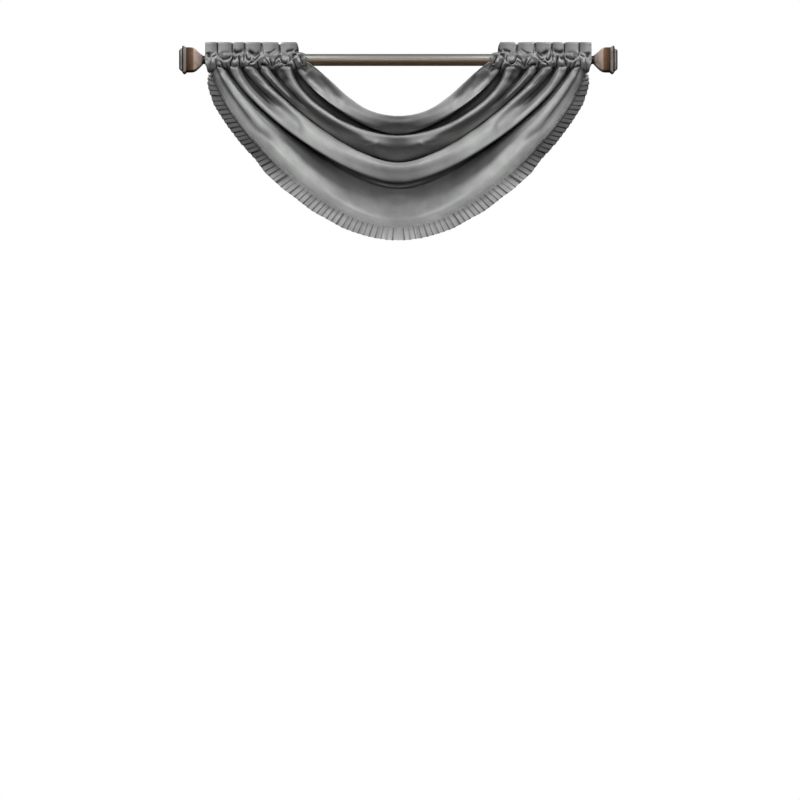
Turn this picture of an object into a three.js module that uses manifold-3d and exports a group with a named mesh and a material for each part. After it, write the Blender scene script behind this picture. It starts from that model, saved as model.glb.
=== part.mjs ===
// A waterfall valance gathered on a curtain rod with square flared finials.
// Millimetres, +Z up, the front faces -Y. The origin is the middle of the rod's axis.

import * as THREE from "three";
import { mergeVertices } from "three/addons/utils/BufferGeometryUtils.js";
import Module from "manifold-3d";

const wasm = await Module();
wasm.setup();

// Rod and finials
const ROD_RADIUS = 16;
const ROD_HALF_LENGTH = 514;
const ROUND_SIDES = 32;
const SQUARE_SIDES = 4;
const FIT_GAP = 0.4;
const COLLAR_RADIUS = 12;
const COLLAR_END_X = 521;
const FINIAL_BODY_END_X = 575;
const FINIAL_CAP_END_X = 583.5;

// Half the width of the square finial's section at each place along the rod
const FINIAL_PROFILE = [
  { x: COLLAR_END_X + FIT_GAP, half: 12 },
  { x: 531, half: 21 },
  { x: 539, half: 27.5 },
  { x: 546, half: 30.8 },
  { x: 552, half: 31.6 },
  { x: 564, half: 31.6 },
  { x: 571, half: 36.8 },
  { x: FINIAL_BODY_END_X, half: 34.5 },
];
const CAP_PROFILE = [
  { x: FINIAL_BODY_END_X + FIT_GAP, half: 30 },
  { x: 578.5, half: 29 },
  { x: FINIAL_CAP_END_X, half: 25 },
];

// Cloth
const CLOTH_THICKNESS = 1.6;
const RUFFLE_THICKNESS = 1.2;

// Finishes
const SATIN = { color: 0x8a8c8a, roughness: 0.5, metalness: 0.2 };
const PLEATED_SATIN = { color: 0x868886, roughness: 0.5, metalness: 0.2 };
const PEWTER = { color: 0x9c9389, roughness: 0.35, metalness: 0.9 };
const BRONZE = { color: 0x9c8375, roughness: 0.35, metalness: 0.9 };
const DARK_BRONZE = { color: 0x594a45, roughness: 0.4, metalness: 0.9 };

// Rod pocket: a casing pinched by a stitch line above the rod and another below it
const POCKET_OUTER_X = 514.5;
const POCKET_INNER_X = 250;
const POCKET_BORE_RADIUS = 16.9;
const POCKET_WALL = 1.9;
const POCKET_TOP_PINCH = 4;
const POCKET_BOTTOM_PINCH = 9;
const POCKET_BOTTOM_ANGLE = -68;
const POCKET_PINCH_SHARPNESS = 10;
const POCKET_GATHER_RISE = 4.2;
const POCKET_GATHER_LEAN = 1.1;
const GATHERS_PER_TAB = 2;
const POCKET_ANGLES = 18;
const POCKET_TAIL_STEPS = 3;

// Standing frill: flat tabs between creases, listed from the outer end inwards
const FRILL_TAB_WIDTHS = [33.5, 40, 32.5, 45, 48.5, 49];
const FRILL_FOOT_Z = 16;
const FRILL_TOP_Z = 46.5;
const FRILL_CREASE_DEPTH = 9;
const FRILL_FORWARD = 11;
const FRILL_THICKNESS = 3;
const STEPS_PER_TAB = 6;
const FRILL_ROWS = 3;

// Fold lines of the swag, from its rolled-back top edge down to its hem. Each one leaves the pocket at rod,
// heads for the point leave, flattens out at flatX from the middle and crosses the middle at middleZ, all as
// seen from the front on the right-hand side. The depths are how far it stands in front of the rod's axis, at
// even steps from the heading to the middle.
const FOLD_LINES = [
  {
    name: "edge roll", rod: [244, -24], leave: [164, -65], flatX: 126, middleZ: -162,
    depths: [8, 5, 4, 8, 14, 16],
  },
  {
    name: "top edge", rod: [243, -4], leave: [158, -56], flatX: 124, middleZ: -151,
    depths: [24, 17, 18, 26, 32, 33],
  },
  {
    name: "slack 1", rod: [248, -26], leave: [222, -70], flatX: 110, middleZ: -160,
    depths: [20, 15, 16, 29, 34, 32],
  },
  {
    name: "belly 1", rod: [259, -29], leave: [240, -86], flatX: 106, middleZ: -171,
    depths: [18, 18, 20, 33, 34, 30],
  },
  {
    name: "lip 1", rod: [266, -29], leave: [252, -72], flatX: 98, middleZ: -197,
    depths: [14, 16, 23, 34, 25, 4],
  },
  {
    name: "tuck 1", rod: [269, -29], leave: [255, -68], flatX: 100, middleZ: -196,
    depths: [2, -6, -12, -14, -10, -8],
  },
  {
    name: "groove 1", rod: [280, -29], leave: [273, -99], flatX: 110, middleZ: -204,
    depths: [2, -6, -14, -17, -13, -9],
  },
  {
    name: "crest 2", rod: [287, -29], leave: [278, -103], flatX: 114, middleZ: -205,
    depths: [24, 22, 19, 20, 25, 31],
  },
  {
    name: "brow 2", rod: [314, -29], leave: [285, -102], flatX: 128, middleZ: -219,
    depths: [26, 24, 24, 25, 31, 29],
  },
  {
    name: "trough 2", rod: [334, -29], leave: [293, -100], flatX: 132, middleZ: -231,
    depths: [-4, -4, 4, 6, 32, 25],
  },
  {
    name: "belly 2", rod: [349, -29], leave: [318, -94], flatX: 130, middleZ: -242,
    depths: [26, 23, 1, 0, 24, 18],
  },
  {
    name: "lip 2", rod: [362, -29], leave: [346, -71], flatX: 126, middleZ: -273,
    depths: [22, 17, -1, -6, -7, -8],
  },
  {
    name: "recess 2", rod: [369, -29], leave: [356, -70], flatX: 129, middleZ: -274,
    depths: [-2, -8, -11, -16, -18, -14],
  },
  {
    name: "puff 3", rod: [386, -29], leave: [352, -72], flatX: 131, middleZ: -277,
    depths: [26, 19, 12, 15, 29, 32],
  },
  {
    name: "crest 3", rod: [403, -29], leave: [362, -82], flatX: 138, middleZ: -283,
    depths: [26, 24, 21, 26, 33, 34],
  },
  {
    name: "trough 3", rod: [413, -29], leave: [374, -98], flatX: 146, middleZ: -290,
    depths: [-4, -4, 26, 34, 38, 36],
  },
  {
    name: "belly 3", rod: [428, -29], leave: [406, -112], flatX: 152, middleZ: -305,
    depths: [28, 29, 34, 42, 40, 35],
  },
  {
    name: "lip 3", rod: [446, -29], leave: [404, -126], flatX: 141, middleZ: -329,
    depths: [24, 31, 37, 45, 39, 31],
  },
  {
    name: "nick 3", rod: [447, -29], leave: [402, -117], flatX: 136, middleZ: -325,
    depths: [4, 8, 12, 14, 16, 12],
  },
  {
    name: "step 3", rod: [452, -29], leave: [407, -121], flatX: 145, middleZ: -342,
    depths: [2, 0, 1, -4, 8, 16],
  },
  {
    name: "recess 3", rod: [456, -29], leave: [409, -119], flatX: 148, middleZ: -337,
    depths: [0, -6, 8, 0, -2, 7],
  },
  {
    name: "panel", rod: [463, -29], leave: [413, -122], flatX: 140, middleZ: -366,
    depths: [18, 20, 25, 8, 1, 7],
  },
  {
    name: "low panel", rod: [470, -29], leave: [428, -117], flatX: 160, middleZ: -390,
    depths: [24, 25, 29, 16, 4, 6],
  },
  {
    name: "crest 4", rod: [478, -29], leave: [446, -111], flatX: 191, middleZ: -419,
    depths: [26, 29, 38, 31, 11, 9],
  },
  {
    name: "trough 4", rod: [482, -29], leave: [452, -117], flatX: 198, middleZ: -431,
    depths: [20, 25, 42, 37, 16, 12],
  },
  {
    name: "ridge 5", rod: [490, -29], leave: [463, -134], flatX: 210, middleZ: -442,
    depths: [18, 24, 44, 43, 20, 14],
  },
  {
    name: "hem", rod: [497, -29], leave: [478, -150], flatX: 218, middleZ: -451,
    depths: [12, 22, 42, 45, 22, 15],
  },
];
const SEAM_DEPTH = 12;
const SEAM_PINCH = 0.7;
const SEAM_REACH = 0.1;
const SWAG_COLUMNS = 34;
const SWAG_ROWS = 2 * (FOLD_LINES.length - 1);
const HEADING_CROWDING = 1.35;

// Pleated ruffle along the hem
const RUFFLE_GAP = 1.4;
const PLEAT_PITCH = 14;
const PLEAT_LIFT = 3.2;
const PLEAT_SECTION = [
  { along: 0, lift: 0 },
  { along: 0.18, lift: 0.7 },
  { along: 0.78, lift: 1 },
];
const PLEAT_FOOT_SHARE = 0.45;
const HEM_SAMPLES = 240;

// How the ruffle hangs at each share of the way from heading to middle: the degrees by which it turns back
// from the front, the degrees by which its pleats lean towards the heading, and its width
const RUFFLE_HANG = [
  { t: 0, turn: 76, lean: 0, width: 36.5 },
  { t: 0.05, turn: 71, lean: 18, width: 36.5 },
  { t: 0.1, turn: 60, lean: 24, width: 36.5 },
  { t: 0.2, turn: 43, lean: 24, width: 36.5 },
  { t: 0.35, turn: 42, lean: 23, width: 36 },
  { t: 0.45, turn: 36, lean: 20, width: 33 },
  { t: 0.52, turn: 8, lean: 15, width: 33.5 },
  { t: 0.6, turn: -18, lean: 12, width: 35 },
  { t: 0.8, turn: -20, lean: 7, width: 35.5 },
  { t: 0.93, turn: -22, lean: 3, width: 34 },
  { t: 1, turn: -30, lean: 0, width: 36.5 },
];

// A closed solid of the given thickness on a grid of points, whose columns run from left to right and whose
// rows run from top to bottom as seen from the front.
function sheetSolid(grid, thickness) {
  const lastColumn = grid.length - 1;
  const lastRow = grid[0].length - 1;
  const positions = [];
  const faces = [];
  const front = (i, j) => 2 * (i * (lastRow + 1) + j);
  const back = (i, j) => front(i, j) + 1;
  for (let i = 0; i <= lastColumn; i += 1) {
    for (let j = 0; j <= lastRow; j += 1) {
      const right = grid[Math.min(i + 1, lastColumn)][j].clone().sub(grid[Math.max(i - 1, 0)][j]);
      const down = grid[i][Math.min(j + 1, lastRow)].clone().sub(grid[i][Math.max(j - 1, 0)]);
      const normal = down.cross(right).normalize();
      positions.push(...grid[i][j].clone().addScaledVector(normal, thickness / 2));
      positions.push(...grid[i][j].clone().addScaledVector(normal, -thickness / 2));
    }
  }
  for (let i = 0; i < lastColumn; i += 1) {
    for (let j = 0; j < lastRow; j += 1) {
      faces.push(...quad(front(i, j), front(i, j + 1), front(i + 1, j + 1), front(i + 1, j)));
      faces.push(...quad(back(i, j), back(i + 1, j), back(i + 1, j + 1), back(i, j + 1)));
    }
    faces.push(...quad(front(i, 0), front(i + 1, 0), back(i + 1, 0), back(i, 0)));
    faces.push(...quad(front(i, lastRow), back(i, lastRow), back(i + 1, lastRow), front(i + 1, lastRow)));
  }
  for (let j = 0; j < lastRow; j += 1) {
    faces.push(...quad(front(0, j), back(0, j), back(0, j + 1), front(0, j + 1)));
    const end = lastColumn;
    faces.push(...quad(front(end, j), front(end, j + 1), back(end, j + 1), back(end, j)));
  }
  return indexedGeometry(positions, faces);
}

// Two triangles over the corners a, b, c, d in turning order
function quad(a, b, c, d) {
  return [a, b, c, a, c, d];
}

function indexedGeometry(positions, faces) {
  const geometry = new THREE.BufferGeometry();
  geometry.setAttribute("position", new THREE.Float32BufferAttribute(positions, 3));
  geometry.setIndex(faces);
  return geometry;
}

// Whole steps from 0 to count, each as a share of count
function shares(count) {
  return Array.from({ length: count + 1 }, (_, step) => step / count);
}

// The side of the middle and the share of the way from heading to middle at a share of the width
function placeAcross(share) {
  const fromHeading = 1 - Math.abs(2 * share - 1);
  return { side: share < 0.5 ? -1 : 1, t: fromHeading ** HEADING_CROWDING };
}

// A fold line's path in the front view and its depth from one heading to the other
function prepareFoldLine(line) {
  const path = new THREE.CubicBezierCurve(
    new THREE.Vector2(...line.rod),
    new THREE.Vector2(...line.leave),
    new THREE.Vector2(line.flatX, line.middleZ),
    new THREE.Vector2(0, line.middleZ),
  );
  const mirrored = [...line.depths, ...line.depths.slice(0, -1).reverse()];
  const depth = new THREE.SplineCurve(mirrored.map((value, station) => new THREE.Vector2(station, value)));
  return { path, depth };
}

const foldLines = FOLD_LINES.map(prepareFoldLine);

// A point of a fold line, pinched towards the seam's depth close to the heading
function foldPoint(line, side, t) {
  const place = line.path.getPoint(t);
  const release = SEAM_PINCH + (1 - SEAM_PINCH) * THREE.MathUtils.smoothstep(t, 0, SEAM_REACH);
  const depth = SEAM_DEPTH + (line.depth.getPoint(t / 2).y - SEAM_DEPTH) * release;
  return new THREE.Vector3(side * place.x, -depth, place.y);
}

// The swag's section across all fold lines
function swagSection(side, t) {
  const points = foldLines.map((line) => foldPoint(line, side, t));
  return new THREE.CatmullRomCurve3(points, false, "centripetal");
}

function swagPanel() {
  const grid = shares(SWAG_COLUMNS).map((share) => {
    const { side, t } = placeAcross(share);
    return swagSection(side, t).getPoints(SWAG_ROWS);
  });
  return sheetSolid(grid, CLOTH_THICKNESS);
}

// The ruffle's turn, its pleats' lean and its width at a share of the way from heading to middle
function ruffleHang(share) {
  const next = Math.max(1, RUFFLE_HANG.findIndex(({ t }) => t >= share));
  const from = RUFFLE_HANG[next - 1];
  const to = RUFFLE_HANG[next];
  const between = (column) => THREE.MathUtils.mapLinear(share, from.t, to.t, from[column], to[column]);
  return {
    turn: THREE.MathUtils.degToRad(between("turn")),
    lean: THREE.MathUtils.degToRad(between("lean")),
    width: between("width"),
  };
}

// The hem on one side: places at given distances, each with the directions out of it and forwards and the
// ruffle's width there
function hemPlaces(side, spacings) {
  const hem = foldLines[foldLines.length - 1];
  const samples = shares(HEM_SAMPLES).map((t) => foldPoint(hem, side, t));
  const curve = new THREE.CatmullRomCurve3(samples);
  curve.arcLengthDivisions = HEM_SAMPLES;
  const total = curve.getLength();
  return spacings(total).map((distance) => {
    const u = distance / total;
    const along = curve.getTangentAt(u).multiplyScalar(-side);
    const level = new THREE.Vector3(0, 1, 0).cross(along).normalize();
    const { turn, lean, width } = ruffleHang(curve.getUtoTmapping(u));
    const out = level.multiplyScalar(Math.cos(turn)).add(new THREE.Vector3(0, Math.sin(turn), 0));
    const forward = out.clone().cross(along).normalize();
    out.addScaledVector(along, side * Math.tan(lean));
    return { point: curve.getPointAt(u), out, forward, width };
  });
}

// Distances along one half of the hem, a few for each knife pleat
function pleatDistances(total) {
  const pleats = Math.round(total / PLEAT_PITCH);
  const pitch = total / pleats;
  const distances = [];
  for (let pleat = 0; pleat < pleats; pleat += 1) {
    for (const corner of PLEAT_SECTION) {
      distances.push((pleat + corner.along) * pitch);
    }
  }
  return [...distances, total];
}

function ruffleColumn(place, lift) {
  const foot = place.point.clone().addScaledVector(place.out, RUFFLE_GAP);
  foot.addScaledVector(place.forward, PLEAT_FOOT_SHARE * PLEAT_LIFT * lift);
  const tip = place.point.clone().addScaledVector(place.out, place.width);
  tip.addScaledVector(place.forward, PLEAT_LIFT * lift);
  return [foot, tip];
}

function ruffle() {
  const halves = [-1, 1].map((side) => {
    const places = hemPlaces(side, pleatDistances);
    return places.map((place, step) => ruffleColumn(place, PLEAT_SECTION[step % PLEAT_SECTION.length].lift));
  });
  const [left, right] = halves;
  return sheetSolid([...left, ...right.reverse().slice(1)], RUFFLE_THICKNESS);
}

// Places along one heading from its outer end inwards, each with its share of the way across its tab
function headingStations() {
  const stations = [];
  let outer = POCKET_OUTER_X;
  for (const width of FRILL_TAB_WIDTHS) {
    for (let step = 0; step < STEPS_PER_TAB; step += 1) {
      const across = step / STEPS_PER_TAB;
      stations.push({ x: outer - across * width, across });
    }
    outer -= width;
  }
  return [...stations, { x: outer, across: 0 }];
}

// Radius of the pocket's bore, drawn out to a pinch above and below the rod
function boreRadius(angle) {
  const up = Math.max(0, Math.sin(angle)) ** POCKET_PINCH_SHARPNESS;
  const fromBottom = angle - THREE.MathUtils.degToRad(POCKET_BOTTOM_ANGLE);
  const down = Math.max(0, Math.cos(fromBottom)) ** POCKET_PINCH_SHARPNESS;
  return POCKET_BORE_RADIUS + POCKET_TOP_PINCH * up + POCKET_BOTTOM_PINCH * down;
}

// Radius of the pocket's outside, with gathers that lean as they pass round the rod
function pocketRadius(angle, across) {
  const phase = 2 * Math.PI * GATHERS_PER_TAB * across + POCKET_GATHER_LEAN * Math.sin(2 * angle);
  const gather = 0.5 - 0.5 * Math.cos(phase);
  return boreRadius(angle) + POCKET_WALL + POCKET_GATHER_RISE * gather * Math.abs(Math.cos(angle));
}

function pocketRing(x, radiusAt) {
  return shares(POCKET_ANGLES)
    .slice(0, -1)
    .map((share) => {
      const angle = 2 * Math.PI * share + Math.PI / 2;
      const radius = radiusAt(angle);
      return new THREE.Vector3(x, -radius * Math.cos(angle), radius * Math.sin(angle));
    });
}

// A closed tube from a list of rings that starts and ends on the same ring
function ringTube(rings) {
  const sides = rings[0].length;
  const positions = rings.flat().flatMap((point) => [...point]);
  const faces = [];
  rings.forEach((ring, i) => {
    const here = i * sides;
    const next = ((i + 1) % rings.length) * sides;
    for (let k = 0; k < sides; k += 1) {
      const after = (k + 1) % sides;
      faces.push(...quad(here + k, here + after, next + after, next + k));
    }
  });
  return indexedGeometry(positions, faces);
}

// The pocket of the right-hand heading, its outside from the outer end inwards and back through the bore
function pocket() {
  const stations = headingStations();
  const tailStart = stations[stations.length - 1].x;
  for (const share of shares(POCKET_TAIL_STEPS).slice(1)) {
    const x = THREE.MathUtils.lerp(tailStart, POCKET_INNER_X, share);
    stations.push({ x, across: share / GATHERS_PER_TAB });
  }
  const outside = stations.map(({ x, across }) => pocketRing(x, (angle) => pocketRadius(angle, across)));
  const inside = [POCKET_INNER_X, POCKET_OUTER_X].map((x) => pocketRing(x, boreRadius));
  return ringTube([...outside, ...inside]);
}

// The frill of the right-hand heading: flat tabs that step back at each crease
function frill() {
  const grid = headingStations()
    .reverse()
    .map(({ x, across }) => {
      const crease = across === 0 ? FRILL_CREASE_DEPTH : 0;
      return shares(FRILL_ROWS).map((share) => {
        const height = THREE.MathUtils.lerp(FRILL_TOP_Z, FRILL_FOOT_Z, share);
        return new THREE.Vector3(x, crease * (1 - share) - FRILL_FORWARD, height);
      });
    });
  return sheetSolid(grid, FRILL_THICKNESS);
}

// A solid for joining, from a geometry whose shared vertices are merged
function joinable(geometry) {
  const bare = geometry.clone();
  bare.deleteAttribute("normal");
  bare.deleteAttribute("uv");
  const merged = mergeVertices(bare);
  const vertProperties = new Float32Array(merged.attributes.position.array);
  const triVerts = new Uint32Array(merged.index.array);
  return new wasm.Manifold(new wasm.Mesh({ numProp: 3, vertProperties, triVerts }));
}

function joined(first, second) {
  const mesh = joinable(first).add(joinable(second)).getMesh();
  return indexedGeometry(Array.from(mesh.vertProperties), Array.from(mesh.triVerts));
}

// The same geometry on the other side of the middle
function mirroredAcross(geometry) {
  const copy = geometry.clone().scale(-1, 1, 1);
  const index = Array.from(copy.index.array);
  for (let corner = 0; corner < index.length; corner += 3) {
    [index[corner], index[corner + 1]] = [index[corner + 1], index[corner]];
  }
  return copy.setIndex(index);
}

function rod() {
  const geometry = new THREE.CylinderGeometry(ROD_RADIUS, ROD_RADIUS, 2 * ROD_HALF_LENGTH, ROUND_SIDES);
  return geometry.rotateZ(Math.PI / 2);
}

// A round collar of the right-hand finial
function finialCollar() {
  const start = ROD_HALF_LENGTH + FIT_GAP;
  const length = COLLAR_END_X - start;
  const geometry = new THREE.CylinderGeometry(COLLAR_RADIUS, COLLAR_RADIUS, length, ROUND_SIDES);
  return geometry.rotateZ(-Math.PI / 2).translate(start + length / 2, 0, 0);
}

// A solid of square section along the rod, from a table of half widths
function squareTurning(profile) {
  const corners = profile.map(({ x, half }) => new THREE.Vector2(half * Math.SQRT2, x));
  const start = new THREE.Vector2(0, profile[0].x);
  const end = new THREE.Vector2(0, profile[profile.length - 1].x);
  const geometry = new THREE.LatheGeometry([start, ...corners, end], SQUARE_SIDES, Math.PI / SQUARE_SIDES);
  return geometry.rotateZ(-Math.PI / 2);
}

const valance = new THREE.Group();

function addPiece(name, geometry, finish) {
  const piece = new THREE.Mesh(geometry, new THREE.MeshStandardMaterial(finish));
  piece.name = name;
  valance.add(piece);
}

// A piece modelled on the right, with its mirror image on the left
function addPair(name, geometry, finish) {
  addPiece(`${name}_right`, geometry, finish);
  addPiece(`${name}_left`, mirroredAcross(geometry), finish);
}

addPiece("swag_panel", swagPanel(), SATIN);
addPiece("ruffle", ruffle(), PLEATED_SATIN);
addPair("heading", joined(pocket(), frill()), SATIN);
addPiece("rod", rod(), PEWTER);
addPair("finial_collar", finialCollar(), DARK_BRONZE);
addPair("finial_body", squareTurning(FINIAL_PROFILE), BRONZE);
addPair("finial_cap", squareTurning(CAP_PROFILE), BRONZE);

export default valance;
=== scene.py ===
"""Waterfall valance on its curtain rod: cloth, rod and finials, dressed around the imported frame."""
import logging
import math
from collections.abc import Mapping, Sequence
from dataclasses import dataclass
from enum import Enum
from itertools import starmap
from typing import Any, NamedTuple

import bmesh
import bpy
import numpy as np
from mathutils import Matrix, Vector, noise


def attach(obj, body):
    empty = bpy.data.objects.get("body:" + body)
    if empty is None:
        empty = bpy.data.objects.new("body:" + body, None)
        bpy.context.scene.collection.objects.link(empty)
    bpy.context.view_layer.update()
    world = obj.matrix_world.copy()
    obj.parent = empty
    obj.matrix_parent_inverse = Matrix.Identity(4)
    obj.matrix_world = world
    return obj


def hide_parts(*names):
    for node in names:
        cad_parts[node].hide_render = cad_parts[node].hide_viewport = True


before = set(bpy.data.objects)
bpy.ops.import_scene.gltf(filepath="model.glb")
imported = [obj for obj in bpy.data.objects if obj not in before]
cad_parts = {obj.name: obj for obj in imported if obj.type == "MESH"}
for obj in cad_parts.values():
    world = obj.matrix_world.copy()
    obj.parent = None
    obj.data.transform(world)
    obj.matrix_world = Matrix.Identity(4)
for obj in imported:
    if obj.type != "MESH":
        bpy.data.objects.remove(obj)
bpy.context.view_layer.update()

LOG = logging.getLogger("valance")
BODY = "root"
CLOTH_MAP = "cloth"
# The mesh attribute that carries the painted shade of the cloth.
PAINTED_SHADE_MAP = "hollow"
ROD_RADIUS = 0.016
MERGE_GAP = 1e-5
TINY_GAP = 1e-6
TINY_LENGTH = 1e-12
MM = 0.001

Array = np.ndarray
Colour = tuple[float, float, float]
Span = tuple[float, float]

BACKWARDS = np.array([0.0, 1.0, 0.0])
MIRRORED = np.array([-1.0, 1.0, 1.0])


class Side(Enum):
    """Which side of the middle a paired piece sits on, as seen from the front."""

    LEFT = -1
    RIGHT = 1

    @property
    def word(self) -> str:
        """The side's name as the node names give it."""
        return self.name.lower()


class Hang(Enum):
    """How a sheet of cloth is held."""

    HUNG = "hung"
    GATHERED = "gathered"


class Pattern(Enum):
    """Which layer of the noise each unevenness of the cloth reads."""

    PLEATS = 0.0
    LUMPS = 2.0
    LIP = 3.0
    WRINKLES = 6.0
    WAVER = 7.0
    RIPPLES = 8.0
    RAGGED_EDGE = 9.0
    HEM_WAVER = 12.0
    PLEAT_TONES = 15.0
    PATCHES = 21.0
    BACK_GATHERS = 31.0


class Signal:
    """A shader socket that takes part in Python arithmetic."""

    def __init__(self, graph: "Graph", socket: bpy.types.NodeSocket) -> None:
        """Keep the graph that new nodes join and the socket that they read."""
        self.graph = graph
        self.socket = socket

    def maths(self, operation: str, first: "Signal | float", second: "Signal | float" = 0.0) -> "Signal":
        """Add one Math node and give its result."""
        return self.graph.signal("ShaderNodeMath", {"operation": operation}, {0: first, 1: second})

    def __add__(self, other: "Signal | float") -> "Signal":
        """Add two values."""
        return self.maths("ADD", self, other)

    def __radd__(self, other: float) -> "Signal":
        """Add a value to a number."""
        return self.maths("ADD", other, self)

    def __sub__(self, other: "Signal | float") -> "Signal":
        """Take a value away."""
        return self.maths("SUBTRACT", self, other)

    def __rsub__(self, other: float) -> "Signal":
        """Take the value away from a number."""
        return self.maths("SUBTRACT", other, self)

    def __mul__(self, other: "Signal | float") -> "Signal":
        """Multiply two values."""
        return self.maths("MULTIPLY", self, other)

    def __rmul__(self, other: float) -> "Signal":
        """Multiply a number by the value."""
        return self.maths("MULTIPLY", other, self)

    def fraction(self) -> "Signal":
        """The part after the decimal point."""
        return self.maths("FRACT", self)

    def size(self) -> "Signal":
        """The value without its sign."""
        return self.maths("ABSOLUTE", self)

    def ramp(self, start: float, end: float) -> "Signal":
        """A smooth step from 0 at start to 1 at end."""
        inputs = {0: self, 1: start, 2: end, 3: 0.0, 4: 1.0}
        return self.graph.signal("ShaderNodeMapRange", {"interpolation_type": "SMOOTHSTEP"}, inputs)


class Graph:
    """A material's node tree and its shader."""

    def __init__(self, name: str) -> None:
        """Start a material that has only its shader and its output.

        Args:
            name: The material's name.
        """
        self.material = bpy.data.materials.new(name)
        self.material.use_nodes = True
        self.tree = self.material.node_tree
        self.shader = self.tree.nodes["Principled BSDF"]

    def node(
        self, kind: str, settings: Mapping[str, Any], inputs: Mapping[int | str, Any]
    ) -> bpy.types.ShaderNode:
        """Add a node.

        Args:
            kind: The node's type.
            settings: Its properties, with a ramp's colours by place under "stops".
            inputs: A number, colour, vector or signal for each named or numbered socket.

        Returns:
            The node.
        """
        node = self.tree.nodes.new(kind)
        for name, value in settings.items():
            if name == "stops":
                self.place_stops(node.color_ramp.elements, value)
            else:
                setattr(node, name, value)
        for key, value in inputs.items():
            self.feed(node.inputs[key], value)
        return node

    def place_stops(self, elements: Any, stops: Mapping[float, Colour]) -> None:
        """Give a colour ramp its stops.

        Args:
            elements: The ramp's own stops.
            stops: A colour for each place along the ramp.
        """
        while len(elements) < len(stops):
            elements.new(1.0)
        for element, (place, colour) in zip(elements, stops.items()):
            element.position = place
            element.color = (*colour, 1.0)

    def signal(
        self, kind: str, settings: Mapping[str, Any], inputs: Mapping[int | str, Any], output: int | str = 0
    ) -> Signal:
        """Add a node and give one of its outputs, ready for arithmetic."""
        return Signal(self, self.node(kind, settings, inputs).outputs[output])

    def feed(self, socket: bpy.types.NodeSocket, value: Any) -> None:
        """Link a signal to a socket, or set the socket's own value.

        Args:
            socket: The socket.
            value: A signal, or a number, colour or vector.
        """
        if isinstance(value, Signal):
            self.tree.links.new(value.socket, socket)
        elif socket.type == "RGBA" and len(value) == 3:
            socket.default_value = (*value, 1.0)
        else:
            socket.default_value = value

    def dress(self, **inputs: Any) -> None:
        """Set or link the shader's sockets, with spaces written as underscores."""
        for name, value in inputs.items():
            self.feed(self.shader.inputs[name.replace("_", " ")], value)

    def split(self, vector: Signal) -> list[Signal]:
        """A vector's X, Y and Z."""
        return [Signal(self, part) for part in self.node("ShaderNodeSeparateXYZ", {}, {0: vector}).outputs]

    def cloth_place(self) -> tuple[Signal, Signal, Signal]:
        """The piece's own UV map in metres.

        Returns:
            The vector, the distance along the cloth and the distance across it.
        """
        vector = self.signal("ShaderNodeUVMap", {"uv_map": CLOTH_MAP}, {})
        along, across, _ = self.split(vector)
        return vector, along, across

    def object_place(self) -> tuple[Signal, Signal, Signal, Signal]:
        """Object coordinates in metres: the vector and its X, Y and Z."""
        vector = self.signal("ShaderNodeTexCoord", {}, {}, "Object")
        return vector, *self.split(vector)

    def noise(self, vector: Signal, scale: float, detail: float) -> Signal:
        """Soft noise between 0 and 1, by its lumps to the metre and its finer layers."""
        return self.signal("ShaderNodeTexNoise", {}, {"Vector": vector, "Scale": scale, "Detail": detail})

    def streaks(self, vector: Signal, scales: Sequence[float], detail: float) -> Signal:
        """Soft noise that is stretched along an axis, by its lumps to the metre along each axis."""
        stretched = self.signal("ShaderNodeVectorMath", {"operation": "MULTIPLY"}, {0: vector, 1: scales})
        return self.noise(stretched, 1.0, detail)

    def colours(self, factor: Signal, first: "Signal | Colour", second: "Signal | Colour") -> Signal:
        """Mix two colours by the share of the second."""
        return self.signal(
            "ShaderNodeMix", {"data_type": "RGBA"}, {"Factor": factor, "A": first, "B": second}, "Result"
        )

    def bump(self, height: Signal, distance: float, strength: float) -> Signal:
        """A normal raised by a height between 0 and 1, where 1 stands for a distance in metres."""
        inputs = {"Height": height, "Distance": distance, "Strength": strength}
        return self.signal("ShaderNodeBump", {}, inputs, "Normal")


def tinted(colour: Colour, share: float) -> Colour:
    """A colour made lighter or darker by a share."""
    red, green, blue = (channel * share for channel in colour)
    return red, green, blue


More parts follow.
